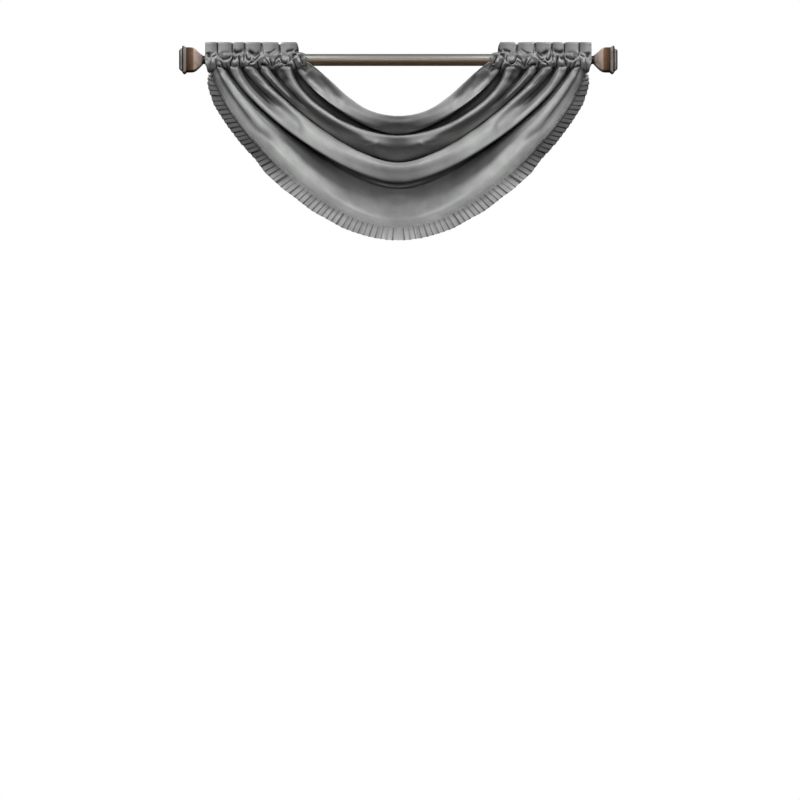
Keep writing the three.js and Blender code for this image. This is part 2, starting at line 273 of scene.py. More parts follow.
@dataclass(frozen=True)
class SatinFinish:
    """Grey polyester satin: long silky threads, faint slubs and a soft sheen."""

    name: str
    tone: Colour
    roughness: float = 0.54
    roughness_spread: float = 0.1
    metal_share: float = 0.35
    sheen: float = 0.12
    sheen_roughness: float = 0.45
    thread_pitch: float = 0.0007
    slub_length: float = 0.03
    weft_slubs: float = 8.0
    mottle_size: float = 0.06
    shade_mix: tuple[float, float, float] = (0.6, 0.28, 0.12)
    shade_levels: Span = (0.3, 0.7)
    tone_spread: Span = (0.84, 1.16)
    thread_heights: Span = (0.5, 0.3)
    # The share of the tone that the painted shade darkens the satin to.
    painted_shade_tone: float = 0.12
    relief: float = 0.0004
    relief_strength: float = 0.35
    stitch_rows: tuple[float, ...] = ()
    stitch_pitch: float = 0.0034
    stitch_width: float = 0.0009
    stitch_ends: Span = (0.3, 0.42)
    stitch_cover: float = 0.6
    stitch_tone: float = 1.5
    stitch_height: float = 1.5
    pucker_reach: Span = (0.004, 0.020)
    pucker_size: Span = (0.006, 0.014)
    pucker_height: float = 8.0

    def material(self) -> bpy.types.Material:
        """The satin's material.

        Returns:
            A material that reads the cloth's own map in metres and darkens by the painted shade attribute.
        """
        graph = Graph(self.name)
        vector, along, across = graph.cloth_place()
        thread, slub = 1 / self.thread_pitch, 1 / self.slub_length
        threads = graph.streaks(vector, (slub, thread, 1.0), 1.0)
        weft = graph.streaks(vector, (thread, self.weft_slubs * slub, 1.0), 1.0)
        mottle = graph.noise(vector, 1 / self.mottle_size, 3.0)
        mottle_share, thread_share, weft_share = self.shade_mix
        shade = mottle_share * mottle + thread_share * threads + weft_share * weft
        dark, light = (tinted(self.tone, share) for share in self.tone_spread)
        colour = graph.colours(shade.ramp(*self.shade_levels), dark, light)
        thread_height, weft_height = self.thread_heights
        height = thread_height * threads + weft_height * weft
        if self.stitch_rows:
            wide, high = self.pucker_size
            lumps = graph.streaks(vector, (1 / wide, 1 / high, 1.0), 1.0)
            height = height + self.pucker_height * lumps * (1.0 - across.ramp(*self.pucker_reach))
        for row in self.stitch_rows:
            stitch = self.stitch_row(along, across, row)
            colour = graph.colours(self.stitch_cover * stitch, colour, tinted(self.tone, self.stitch_tone))
            height = height + self.stitch_height * stitch
        # Painted shade: the base colour darkens towards a dark tone wherever the attribute says.
        hollow = graph.signal("ShaderNodeAttribute", {"attribute_name": PAINTED_SHADE_MAP}, {}, "Fac")
        graph.dress(
            Base_Color=graph.colours(hollow, colour, tinted(self.tone, self.painted_shade_tone)),
            Roughness=self.roughness + self.roughness_spread * (shade - 0.5),
            Metallic=self.metal_share,
            Sheen_Weight=self.sheen,
            Sheen_Roughness=self.sheen_roughness,
            Normal=graph.bump(height, self.relief, self.relief_strength),
        )
        return graph.material

    def stitch_row(self, along: Signal, across: Signal, row: float) -> Signal:
        """A row of short stitches parallel to the hem.

        Args:
            along: The distance along the cloth.
            across: The distance up from the hem.
            row: How far up from the hem the row lies.

        Returns:
            1 on a stitch and 0 elsewhere.
        """
        near = 1.0 - (across - row).size().ramp(0.5 * self.stitch_width, self.stitch_width)
        dash = ((along * (1 / self.stitch_pitch)).fraction() - 0.5).size()
        return near * (1.0 - dash.ramp(*self.stitch_ends))


@dataclass(frozen=True)
class BandStop:
    """A finial's colour at a distance from the middle of the rod."""

    x: float
    colour: Colour


@dataclass(frozen=True)
class BronzeFinish:
    """Satin antique bronze whose colour runs in bands along the finial: patina together with painted
    highlights, reflections and shade on each face.
    """

    name: str
    bands: tuple[BandStop, ...]
    roughness: float = 0.36
    mottle_roughness: float = 0.16
    grain_roughness: float = 0.08
    metal_share: float = 0.3
    mottle_scale: float = 70.0
    grain_scale: float = 900.0
    aged_and_shade_tone: Colour = (0.05, 0.035, 0.028)
    aged_share: float = 0.4
    aged_levels: Span = (0.45, 0.7)
    grain_height: float = 0.7
    mottle_height: float = 0.3
    relief: float = 0.0002
    relief_strength: float = 0.4

    def material(self) -> bpy.types.Material:
        """The bronze's material.

        Returns:
            A material that reads Object coordinates.
        """
        graph = Graph(self.name)
        vector, x, _, _ = graph.object_place()
        first, last = self.bands[0].x, self.bands[-1].x
        place = (x.size() - first) * (1 / (last - first))
        stops = {(band.x - first) / (last - first): band.colour for band in self.bands}
        # The bands hold patina and painted light and shade together.
        tone = graph.signal("ShaderNodeValToRGB", {"stops": stops}, {0: place})
        mottle = graph.noise(vector, self.mottle_scale, 4.0)
        grain = graph.noise(vector, self.grain_scale, 2.0)
        aged = self.aged_share * mottle.ramp(*self.aged_levels)
        height = self.grain_height * grain + self.mottle_height * mottle
        graph.dress(
            Base_Color=graph.colours(aged, tone, self.aged_and_shade_tone),
            Roughness=self.roughness + self.mottle_roughness * mottle + self.grain_roughness * grain,
            Metallic=self.metal_share,
            Normal=graph.bump(height, self.relief, self.relief_strength),
        )
        return graph.material


@dataclass(frozen=True)
class PewterFinish:
    """Brushed pewter with its underside painted brown as shade."""

    name: str
    tone: Colour
    aged_and_shade_tone: Colour
    radius: float = ROD_RADIUS
    roughness: float = 0.34
    roughness_spread: float = 0.16
    metal_share: float = 0.7
    brush_scales: tuple[float, float, float] = (6.0, 1400.0, 1400.0)
    mottle_scale: float = 45.0
    # Where the painted underside shade begins, in rod radii, and how its edge wavers.
    edge_waver: float = 0.15
    edge_radii: Span = (-0.15, 0.45)
    worn_share: float = 0.25
    worn_tone: float = 1.3
    relief: float = 0.0002
    relief_strength: float = 0.35

    def material(self) -> bpy.types.Material:
        """The pewter's material.

        Returns:
            A material that reads Object coordinates.
        """
        graph = Graph(self.name)
        vector, _, _, z = graph.object_place()
        brushed = graph.streaks(vector, self.brush_scales, 2.0)
        mottle = graph.noise(vector, self.mottle_scale, 3.0)
        start, end = (self.radius * share for share in self.edge_radii)
        # Painted shade: below a wavering line the underside takes the brown shade tone.
        below = (self.edge_waver * self.radius * (mottle - 0.5) - z).ramp(start, end)
        colour = graph.colours(below, self.tone, self.aged_and_shade_tone)
        graph.dress(
            Base_Color=graph.colours(self.worn_share * brushed, colour, tinted(self.tone, self.worn_tone)),
            Roughness=self.roughness + self.roughness_spread * brushed,
            Metallic=self.metal_share,
            Normal=graph.bump(brushed, self.relief, self.relief_strength),
        )
        return graph.material


@dataclass(frozen=True)
class FloorFinish:
    """Pale matt floor paint with a glow of its own."""

    name: str
    tone: Colour
    glow: float
    roughness: float = 0.9
    cloud_scale: float = 1.5
    cloud_tone: float = 0.96

    def material(self) -> bpy.types.Material:
        """The floor's material.

        Returns:
            A material with a faint cloudy tone.
        """
        graph = Graph(self.name)
        vector, _, _, _ = graph.object_place()
        cloud = graph.noise(vector, self.cloud_scale, 3.0)
        colour = graph.colours(cloud, self.tone, tinted(self.tone, self.cloud_tone))
        graph.dress(
            Base_Color=colour,
            Roughness=self.roughness,
            Emission_Color=colour,
            Emission_Strength=self.glow,
        )
        return graph.material


def hermite(start: Array, end: Array, leaving: Array, arriving: Array, share: Array | float) -> Array:
    """A point on a cubic between two places with given slopes.

    Args:
        start: The place at 0.
        end: The place at 1.
        leaving: The slope at 0.
        arriving: The slope at 1.
        share: How far along the cubic the point is.

    Returns:
        The point.
    """
    rise = end - start
    return start + share * (
        leaving + share * (3.0 * rise - 2.0 * leaving - arriving + share * (leaving + arriving - 2.0 * rise))
    )


def smooth_curve(knots: Array, steps: int) -> Array:
    """Sample a centripetal spline through knots, evenly within each span.

    Args:
        knots: The knots, with their coordinates on the last axis.
        steps: Samples in each span.

    Returns:
        The samples along the first axis.
    """
    before = 2.0 * knots[:1] - knots[1:2]
    after = 2.0 * knots[-1:] - knots[-2:-1]
    chain = np.concatenate([before, knots, after])
    gaps = np.maximum(np.sum(np.diff(chain, axis=0) ** 2, axis=-1, keepdims=True) ** 0.25, TINY_GAP)
    a, b, c, d = chain[:-3], chain[1:-2], chain[2:-1], chain[3:]
    gap_a, gap_b, gap_c = gaps[:-2], gaps[1:-1], gaps[2:]
    leaving = gap_b * ((b - a) / gap_a - (c - a) / (gap_a + gap_b) + (c - b) / gap_b)
    arriving = gap_b * ((c - b) / gap_b - (d - b) / (gap_b + gap_c) + (d - c) / gap_c)
    spans = [hermite(b, c, leaving, arriving, step / steps) for step in range(steps)]
    samples = np.stack(spans, axis=1).reshape(-1, *knots.shape[1:])
    return np.concatenate([samples, knots[-1:]])


def smoothstep(value: Array, start: float, end: float) -> Array:
    """A smooth step from 0 at start to 1 at end."""
    share = np.clip((value - start) / (end - start), 0.0, 1.0)
    return share * share * (3.0 - 2.0 * share)


def step_down(value: Array, start: float, end: float) -> Array:
    """A smooth step from 1 at start to 0 at end."""
    return 1 - smoothstep(value, start, end)


def blend(first: Array | float, second: Array | float, share: Array) -> Array:
    """A value at a share of the way from the first to the second."""
    return first + (second - first) * share


def both_halves(half: Array) -> Array:
    """A half, from its end to the middle, and then its mirror image."""
    return np.concatenate([half, half[-2::-1]])


def soft_noise(pattern: Pattern, size: Span, x: Array, y: Array | float = 0.0) -> Array:
    """Smooth noise between about -1 and 1 over two coordinates.

    Args:
        pattern: Which noise it is.
        size: How far apart its lumps are along each coordinate.
        x: First coordinate.
        y: Second coordinate.

    Returns:
        The noise, in the shape of x and y together.
    """
    wide, high = np.broadcast_arrays(x / size[0], y / size[1])
    values = [noise.noise(Vector((u, v, pattern.value))) for u, v in zip(wide.ravel(), high.ravel())]
    return np.array(values).reshape(wide.shape)


def unit(vectors: Array) -> Array:
    """Vectors of length 1 in the same directions."""
    return vectors / np.maximum(np.linalg.norm(vectors, axis=-1, keepdims=True), TINY_LENGTH)


def surface_normals(points: Array) -> Array:
    """Unit normals of a grid of points, towards the front for columns to the right and rows downwards."""
    return unit(np.cross(np.gradient(points, axis=1), np.gradient(points, axis=0)))


def run_lengths(points: Array, axis: int) -> Array:
    """Distance along a grid of points from its first point on an axis."""
    steps = np.linalg.norm(np.diff(points, axis=axis), axis=-1)
    return np.insert(np.cumsum(steps, axis=axis), 0, 0.0, axis=axis)


def read_along(places: Array, lengths: Array, line: Array) -> Array:
    """A line's points at some places along it, from the lengths along it at its own points."""
    return np.stack([np.interp(places, lengths, values) for values in line.T], axis=-1)


def placed(name: str, data: bpy.types.ID) -> bpy.types.Object:
    """Put a new object into the scene, at its origin.

    Args:
        name: The object's name.
        data: Its mesh, light or camera.

    Returns:
        The object.
    """
    thing = bpy.data.objects.new(name, data)
    bpy.context.scene.collection.objects.link(thing)
    return thing


def add_object(name: str, mesh: bpy.types.Mesh, material: bpy.types.Material) -> bpy.types.Object:
    """Put a mesh into the scene as a piece that rides on the part's body.

    Args:
        name: The piece's name.
        mesh: Its mesh, already in place.
        material: Its finish.

    Returns:
        The piece.
    """
    mesh.materials.append(material)
    piece = placed(name, mesh)
    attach(piece, BODY)
    return piece


def finished_mesh(shape: bmesh.types.BMesh, name: str, smooth: bool = True) -> bpy.types.Mesh:
    """Turn a bmesh into a mesh and free it.

    Args:
        shape: The bmesh.
        name: The mesh's name.
        smooth: Whether its faces are shaded smooth.

    Returns:
        The mesh.
    """
    mesh = bpy.data.meshes.new(name)
    shape.to_mesh(mesh)
    shape.free()
    if smooth:
        mesh.shade_smooth()
    return mesh


def soften(shape: bmesh.types.BMesh, edges: list[bmesh.types.BMEdge], offset: float, segments: int) -> None:
    """Round off some edges of a shape."""
    bmesh.ops.bevel(
        shape, geom=edges, offset=offset, affect="EDGES", segments=segments, profile=0.5, material=-1
    )


def cloth_mesh(name: str, points: Array, cloth_map: Array, hollow: Array) -> bpy.types.Mesh:
    """Bend a flat grid of quads into a sheet of cloth.

    Args:
        name: The mesh's name.
        points: The sheet's points by column and row.
        cloth_map: Each point's place on the flat cloth, in metres.
        hollow: How dark each point is painted, from 0 to 1: mostly painted shade in folds, creases and
            pleats.

    Returns:
        The sheet, with its place on the flat cloth as a UV map and its painted shade as an attribute.
    """
    columns, rows = points.shape[:2]
    shape = bmesh.new()
    bmesh.ops.create_grid(shape, x_segments=columns - 1, y_segments=rows - 1, size=0.5)
    mesh = finished_mesh(shape, name)
    flat = np.empty(3 * len(mesh.vertices))
    mesh.vertices.foreach_get("co", flat)
    flat = flat.reshape(-1, 3)
    column = np.rint((flat[:, 0] + 0.5) * (columns - 1)).astype(int)
    row = np.rint((0.5 - flat[:, 1]) * (rows - 1)).astype(int)
    mesh.vertices.foreach_set("co", points[column, row].ravel())
    corners = np.empty(len(mesh.loops), dtype=np.int32)
    mesh.loops.foreach_get("vertex_index", corners)
    layer = mesh.uv_layers.new(name=CLOTH_MAP)
    layer.uv.foreach_set("vector", cloth_map[column, row][corners].ravel())
    # The painted shade goes on the mesh as an attribute for the material to darken by.
    shade = mesh.attributes.new(PAINTED_SHADE_MAP, "FLOAT", "POINT")
    shade.data.foreach_set("value", hollow[column, row])
    mesh.update()
    return mesh


def thicken(piece: bpy.types.Object, thickness: float) -> None:
    """Give a sheet its thickness, half to each side.

    Args:
        piece: The sheet.
        thickness: Its thickness.
    """
    solidify = piece.modifiers.new("thickness", "SOLIDIFY")
    solidify.thickness = thickness
    solidify.offset = 0.0
    piece.modifiers.new("flat edges", "WEIGHTED_NORMAL")


@dataclass(frozen=True)
class FoldLine:
    """One ridge, lip or hollow of the swag from the heading to the middle, in millimetres."""

    name: str
    rod: Span
    leave: Span
    flat_x: float
    middle_z: float
    depths: tuple[float, ...]

    def path(self, t: Array) -> tuple[Array, Array]:
        """The line's place in the front view.

        Args:
            t: Share of the way from the heading to the middle.

        Returns:
            The distances out from the middle and the heights.
        """
        weights = [(1 - t) ** 3, 3 * t * (1 - t) ** 2, 3 * t * t * (1 - t), t**3]
        corners = [self.rod, self.leave, (self.flat_x, self.middle_z), (0.0, self.middle_z)]
        x = sum(MM * weight * corner[0] for weight, corner in zip(weights, corners))
        z = sum(MM * weight * corner[1] for weight, corner in zip(weights, corners))
        return x, z

    def depth(self, t: Array) -> Array:
        """How far the line stands in front of the rod's axis.

        Args:
            t: Share of the way from the heading to the middle.

        Returns:
            The distances.
        """
        stations = MM * both_halves(np.array(self.depths))
        padded = np.pad(stations, 1, mode="edge")
        place = 0.5 * t * (len(stations) - 1)
        index = np.minimum(place.astype(int), len(stations) - 2)
        a, b, c, d = (padded[index + step] for step in range(4))
        return hermite(b, c, 0.5 * (c - a), 0.5 * (d - b), place - index)


@dataclass(frozen=True)
class Crease:
    """A soft trough, or ridge if its depth is below 0, through places in the front view, in millimetres."""

    route: tuple[Span, ...]
    width: float
    depth: float
    fade: float = 0.25
    runout: float = 0.3
    steps: int = 10

    def share(self, front: Array) -> Array:
        """How much of the crease's depth each point has.

        Args:
            front: Each point's distance out from the middle and its height, on the last axis.

        Returns:
            The shares, 1 along the middle of the crease.
        """
        route = smooth_curve(MM * np.array(self.route), self.steps)
        along = np.linspace(0.0, 1.0, len(route))
        strength = smoothstep(np.minimum(along, 1 - along), -self.runout * self.fade, self.fade)
        shares = np.zeros(front.shape[:-1])
        for place, weight in zip(route, strength):
            away = np.sum(((front - place) / (MM * self.width)) ** 2, axis=-1)
            shares = np.maximum(shares, weight * np.exp(-away))
        return shares


class FoldCrease(NamedTuple):
    """A crease on the swag, the fold lines that it lies between and how dark the shade painted along it is.
    """

    first: str
    last: str
    crease: Crease
    shade: float = 0.45


# The swag from its top edge down to its hem.
FOLD_LINES = tuple(starmap(FoldLine, (
    ("edge roll", (248, -24), (164, -65), 126, -162, (8, 5, 4, 8, 14, 16)),
    ("top edge", (246, -4), (158, -56), 124, -151, (24, 17, 18, 26, 32, 33)),
    ("slack 1", (252, -24), (222, -70), 110, -160, (20, 15, 16, 29, 34, 32)),
    ("belly 1", (259, -29), (240, -86), 106, -171, (18, 18, 20, 33, 34, 30)),
    ("lip 1", (266, -29), (252, -72), 98, -197, (14, 16, 23, 34, 25, 4)),
    ("tuck 1", (269, -29), (255, -68), 100, -196, (2, -6, -12, -14, -10, -8)),
    ("groove 1", (280, -29), (273, -99), 110, -204, (2, -6, -14, -17, -13, -9)),
    ("crest 2", (287, -29), (278, -103), 114, -205, (24, 22, 19, 20, 25, 31)),
    ("brow 2", (314, -29), (285, -102), 128, -219, (26, 24, 24, 25, 31, 29)),
    ("trough 2", (334, -29), (293, -100), 132, -231, (-4, -4, 4, 6, 32, 25)),
    ("belly 2", (349, -29), (318, -94), 130, -242, (26, 23, 1, 0, 24, 18)),
    ("lip 2", (362, -29), (346, -71), 126, -273, (22, 17, -1, -6, -7, -8)),
    ("recess 2", (369, -29), (356, -70), 129, -274, (-2, -8, -11, -16, -18, -14)),
    ("puff 3", (386, -29), (352, -72), 131, -277, (26, 19, 12, 15, 29, 32)),
    ("crest 3", (403, -29), (362, -82), 138, -283, (26, 24, 21, 26, 33, 34)),
    ("trough 3", (413, -29), (374, -98), 146, -290, (-4, -4, 26, 34, 38, 36)),
    ("belly 3", (428, -29), (406, -112), 152, -305, (28, 29, 34, 42, 40, 35)),
    ("lip 3", (446, -29), (404, -126), 141, -329, (24, 31, 37, 45, 39, 31)),
    ("nick 3", (447, -29), (402, -117), 136, -325, (4, 8, 12, 14, 16, 12)),
    ("step 3", (452, -29), (407, -121), 145, -342, (2, 0, 1, -4, 8, 16)),
    ("recess 3", (456, -29), (409, -119), 148, -337, (0, -6, 8, 0, -2, 7)),
    ("panel", (463, -29), (413, -122), 140, -366, (18, 20, 25, 8, 1, 7)),
    ("low panel", (470, -29), (428, -117), 160, -390, (24, 25, 29, 16, 4, 6)),
    ("crest 4", (478, -29), (446, -111), 191, -419, (26, 29, 38, 31, 11, 9)),
    ("trough 4", (482, -29), (452, -117), 198, -431, (20, 25, 42, 37, 16, 12)),
    ("ridge 5", (490, -29), (463, -134), 210, -442, (18, 24, 44, 43, 20, 14)),
    ("hem", (497, -29), (478, -150), 218, -451, (12, 22, 42, 45, 22, 15)),
)))

# Each crease lies between two fold lines, and shade is painted along its trough.
SWAG_CREASES = (
    FoldCrease("top edge", "lip 1", Crease((
        (219, -34), (201, -57), (183, -76), (169, -93), (153, -112),
    ), 8, 4)),
    FoldCrease("top edge", "lip 1", Crease(((241, -40), (217, -61), (193, -83)), 8, 3)),
    FoldCrease("top edge", "lip 1", Crease(((248, -10), (231, -19), (216, -29), (203, -39)), 3, 3)),
    FoldCrease("top edge", "lip 1", Crease(((258, -24), (251, -28), (245, -33)), 5, 3), 0.9),
    FoldCrease("top edge", "lip 1", Crease(((258, -14), (248, -18), (239, -24), (231, -24)), 3, 2.5), 0.7),
    FoldCrease("groove 1", "trough 2", Crease((
        (316, -24), (308, -38), (301, -51), (295, -63),
    ), 8, 7, 0.3), 0.9),
    FoldCrease("recess 2", "lip 3", Crease((
        (352, -84), (338, -96), (324, -108), (307, -125), (290, -142), (275, -156),
        (266, -167), (262, -178), (262, -190), (264, -201),
    ), 7, 2, 0.3)),
    FoldCrease("recess 2", "lip 3", Crease((
        (372, -88), (355, -106), (342, -120), (329, -134), (316, -148), (306, -159),
    ), 8, 2)),
    FoldCrease("recess 2", "trough 3", Crease(((402, -28), (378, -52), (352, -72)), 5, 2)),
    FoldCrease("panel", "hem", Crease((
        (425, -128), (404, -155), (380, -184), (353, -205), (340, -221),
    ), 9, 3)),
    FoldCrease("brow 2", "lip 2", Crease(((57, -219), (64, -227), (81, -229), (97, -227)), 4, -3)),
)

HEADING_FADE = 0.2
# The route, width and depth of each crease, first those between the tabs of the frill.
HEADING_CREASES = tuple(Crease(route, width, depth, HEADING_FADE) for route, width, depth in (
    (((481, 52), (481, 32), (481, 15), (479, 6)), 1.2, 5),
    (((444, 52), (442, 37), (442, 22), (441, 11)), 1.2, 5),
    (((410, 52), (408, 34), (406, 20), (403, 3)), 1.2, 5),
    (((365, 52), (363, 37), (361, 24), (360, 14)), 1.2, 5),
    (((317, 52), (315, 41), (314, 26), (313, 14)), 1.2, 5),
    (((506, 14), (503, 7)), 5, 7),
    (((497, 5), (489, 9), (484, 13)), 2.4, 5),
    (((471, 17), (461, 19), (451, 17)), 4, 3),
    (((438, 24), (433, 20), (422, 21), (414, 25)), 5, 6.5),
    (((397, 22), (391, 18), (385, 15)), 5.5, 7.5),
    (((387, 10), (377, 12), (370, 21)), 4.5, 5),
    (((350, 15), (338, 20), (326, 28)), 2.2, 4.5),
    (((299, 19), (290, 23), (279, 25)), 4.2, 6),
    (((275, 20), (267, 25)), 2.8, 6),
    (((438, 4), (435, 1)), 3.4, 7),
    (((457, -26), (453, -29)), 4.4, 9),
    (((415, -24), (409, -26), (411, -32)), 5, 10),
    (((365, -13), (357, -20), (355, -29)), 5, 9),
    (((255, -21), (249, -27)), 4.5, 9),
    (((335, -27), (331, -37), (325, -48)), 3.6, 9),
    (((301, -17), (294, -27), (287, -37)), 3, 8),
    (((471, 1), (464, 0), (452, 3), (444, 8)), 1.9, 7),
    (((473, -5), (469, -14), (464, -22), (459, -25), (455, -19), (458, -15)), 1.7, 7),
    (((442, 10), (441, 2), (445, -6), (447, -16), (445, -31)), 2.3, 8),
    (((439, 7), (434, 1), (430, 6)), 1.6, 6),
    (((426, 10), (423, -1), (422, -16), (419, -23)), 2.3, 8),
    (((413, 13), (411, 3), (412, -7)), 1.6, 5),
    (((406, 10), (402, 1), (397, -2), (393, 3)), 1.8, 7),
    (((389, 3), (383, -3), (378, 0), (373, 7), (367, 14)), 1.8, 6),
    (((399, -21), (396, -12), (389, -8), (381, -6)), 1.9, 6),
    (((376, -5), (372, -20), (365, -33)), 2.3, 8),
    (((356, 1), (349, -6), (344, -14), (351, -17), (355, -9)), 1.5, 6),
    (((344, 2), (338, -10), (335, -19)), 1.8, 7),
    (((332, -17), (327, -2), (321, 3)), 1.6, 6),
    (((323, -12), (318, -5), (314, -13)), 1.5, 6),
    (((315, 4), (309, -8), (301, -12), (295, -6)), 1.8, 7),
    (((291, 10), (288, 1), (290, -10)), 1.6, 5),
    (((283, 0), (278, 11), (271, 14)), 1.8, 6),
    (((281, -1), (273, -18), (264, -39)), 2.2, 8),
    (((263, 10), (258, -3), (253, -14)), 2.0, 7),
    (((242, -10), (230, -14), (222, -21)), 1.8, 5),
    (((498, 3), (500, -10), (503, -25)), 1.6, 4),
    (((486, -3), (484, -16), (479, -25)), 1.9, 6),
))


@dataclass
class Swag:
    """The main satin panel, hung in nested cowl folds between the two headings."""

    finish: SatinFinish
    fold_lines: tuple[FoldLine, ...] = FOLD_LINES
    creases: tuple[FoldCrease, ...] = SWAG_CREASES
    thickness: float = 0.001
    columns: int = 290
    lead_columns: int = 9
    steps: int = 6
    smoothing: int = 1
    hem_samples: int = 1200
    crowding: float = 1.35
    seam_depth: float = 0.012
    seam_pinch: float = 0.7
    seam_reach: float = 0.10
    lead_rises: Span = (0.005, 0.016)
    lead_band: Span = (0.002, 0.029)
    lead_slope: float = 0.5
    lead_bend: float = 1.3
    lead_tuck: float = 0.002
    tuck_depth: float = 0.0095
    crest_depths: Span = (0.010, 0.021)
    waver: float = 0.0008
    waver_size: Span = (0.035, 0.05)
    ripple: float = 0.00032
    ripple_size: Span = (0.014, 0.018)
    # Painted shade on the lead-in columns, in the mouths at the heading, in patches under the heading and in
    # the folds' hollows.
    lead_shade: float = 0.7
    lead_fade: Span = (0.2, 1.2)
    mouth_shade: float = 0.9
    mouth_depths: Span = (0.002, 0.012)
    mouth_reach: Span = (0.045, 0.100)
    upper_shade: float = 0.5
    upper_reach: Span = (0.032, 0.085)
    patch_least: float = 0.3
    patch_size: Span = (0.016, 0.020)
    patch_levels: Span = (-0.3, 0.4)
    hollow_shade: float = 0.8
    hollow_rows: int = 10
    hollow_depths: Span = (0.003, 0.011)
    flat: Span = (1.30, 0.56)
    flat_area: float = 0.45

    def fold_points(self, line: FoldLine, side: Array, t: Array) -> Array:
        """Points of a fold line, pinched towards the seam close to the heading.

        Args:
            line: The fold line.
            side: -1 or 1 for each point.
            t: Each point's share of the way from the heading to the middle.

        Returns:
            The points.
        """
        x, z = line.path(t)
        release = blend(self.seam_pinch, 1.0, smoothstep(t, 0.0, self.seam_reach))
        depth = blend(self.seam_depth, line.depth(t), release)
        return np.stack([side * x, -depth, z], axis=-1)

    def shares(self) -> tuple[Array, Array]:
        """The side and the share of the way to the middle of each column, from left to right."""
        share = np.linspace(0.0, 1.0, self.columns + 1)
        return np.where(share < 0.5, -1.0, 1.0), (1 - np.abs(2 * share - 1)) ** self.crowding

    def draped(self) -> Array:
        """Hang the sheet from its fold lines.

        Returns:
            The sheet's points by column and row, without its creases.
        """
        side, t = self.shares()
        knots = np.stack([self.fold_points(line, side, t) for line in self.fold_lines])
        rows = smooth_curve(knots, self.steps)
        for _ in range(self.smoothing):
            rows[1:-1] = 0.25 * rows[:-2] + 0.5 * rows[1:-1] + 0.25 * rows[2:]
        points = rows.transpose(1, 0, 2)
        left = self.lead_in(points[0], points[1])
        right = self.lead_in(points[-1], points[-2])
        return np.concatenate([left[::-1], points, right])

    def lead_in(self, start: Array, inner: Array) -> Array:
        """Columns that carry the folds up to the pocket: crests end in puffs, hollows stay behind its lip.

        Args:
            start: The sheet's points at a heading.
            inner: Its next column towards the middle.

        Returns:
            The columns, upwards from the heading's seam.
        """
        share = np.linspace(0.0, 1.0, self.lead_columns + 1)[1:, None, None]
        crest = smoothstep(-start[:, 1], *self.crest_depths)
        rise = blend(*self.lead_rises, crest) * smoothstep(-start[:, 2], *self.lead_band)
        leaving = unit(start - inner)
        leaving[:, 0] = np.clip(leaving[:, 0], -self.lead_slope, self.lead_slope)
        end = start.copy()
        end[:, 0] += leaving[:, 0] * rise
        end[:, 1] = np.maximum(start[:, 1] + self.lead_tuck, -self.tuck_depth)
        end[:, 2] += rise
        bend = self.lead_bend * rise[:, None]
        return hermite(start, end, bend * leaving, bend * BACKWARDS, share)

    def creased(self, points: Array) -> tuple[Array, Array]:
        """The sheet with its creases.

        Args:
            points: The draped sheet.

        Returns:
            The moved points and the shade painted on each one along a troughed crease.
        """
        half = len(points) // 2 + 1
        x, z = np.abs(points[:half, :, 0]), points[:half, :, 2]
        front = np.stack([x, z], axis=-1)
        names = [line.name for line in self.fold_lines]
        lift = self.waver * soft_noise(Pattern.WAVER, self.waver_size, x, z)
        lift += self.ripple * soft_noise(Pattern.RIPPLES, self.ripple_size, x, z)
        shade = np.zeros_like(x)
        for first, last, crease, tone in self.creases:
            rows = slice(names.index(first) * self.steps, names.index(last) * self.steps)
            share = crease.share(front[:, rows])
            lift[:, rows] -= MM * crease.depth * share
            # Painted shade along each trough; a ridge gets none.
            shade[:, rows] = np.maximum(shade[:, rows], tone * share * np.sign(crease.depth))
        return points + both_halves(lift)[..., None] * surface_normals(points), both_halves(shade)

    def painted_shades(self, points: Array) -> Array:
        """Painted shade for each point: in a fold behind the rows around it, in a mouth at the heading, on
        the lead-in columns and in patches under the heading.

        Args:
            points: The creased sheet.

        Returns:
            How dark each point is painted.
        """
        depth, fall = -points[..., 1], -points[..., 2]
        rows = self.hollow_rows
        padded = np.pad(depth, ((0, 0), (rows, rows)), mode="edge")
        windows = [padded[:, step : step + depth.shape[1]] for step in range(2 * rows + 1)]
        # Painted shade, where a point lies behind the rows around it, in a mouth, on a lead-in column or
        # just under the heading.
        hollow = self.hollow_shade * smoothstep(np.mean(windows, axis=0) - depth, *self.hollow_depths)
        mouth = step_down(depth, *self.mouth_depths) * step_down(fall, *self.mouth_reach)
        column = np.arange(len(points))
        inset = np.minimum(column, column[::-1])[:, None] / self.lead_columns
        lead = self.lead_shade * step_down(inset, *self.lead_fade)
        patches = soft_noise(Pattern.PATCHES, self.patch_size, points[..., 0], points[..., 2])
        patch = blend(self.patch_least, 1.0, smoothstep(patches, *self.patch_levels))
        upper = self.upper_shade * patch * step_down(fall, *self.upper_reach)
        return np.maximum.reduce(np.broadcast_arrays(hollow, self.mouth_shade * mouth, lead, upper))

    def flat_places(self, points: Array) -> Array:
        """Each point's place on the flat cloth.

        Args:
            points: The creased sheet.

        Returns:
            The distances along the cloth from its middle, and up from its hem.
        """
        along = run_lengths(points, 0)
        along = along - along[len(points) // 2]
        down = run_lengths(points, 1)
        return np.stack([along, down[:, -1:] - down], axis=-1)

    def build(self) -> bpy.types.Object:
        """Model the swag in place of its solid.

        Returns:
            The swag.
        """
        points, shade = self.creased(self.draped())
        # Painted shade from the creases and from the folds' hollows, mouths, lead-in and patches.
        hollow = np.maximum(shade, self.painted_shades(points))
        mesh = cloth_mesh("swag_cloth", points, self.flat_places(points), hollow)
        piece = add_object("swag_cloth", mesh, self.finish.material())
        thicken(piece, self.thickness)
        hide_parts("swag_panel")
        return piece

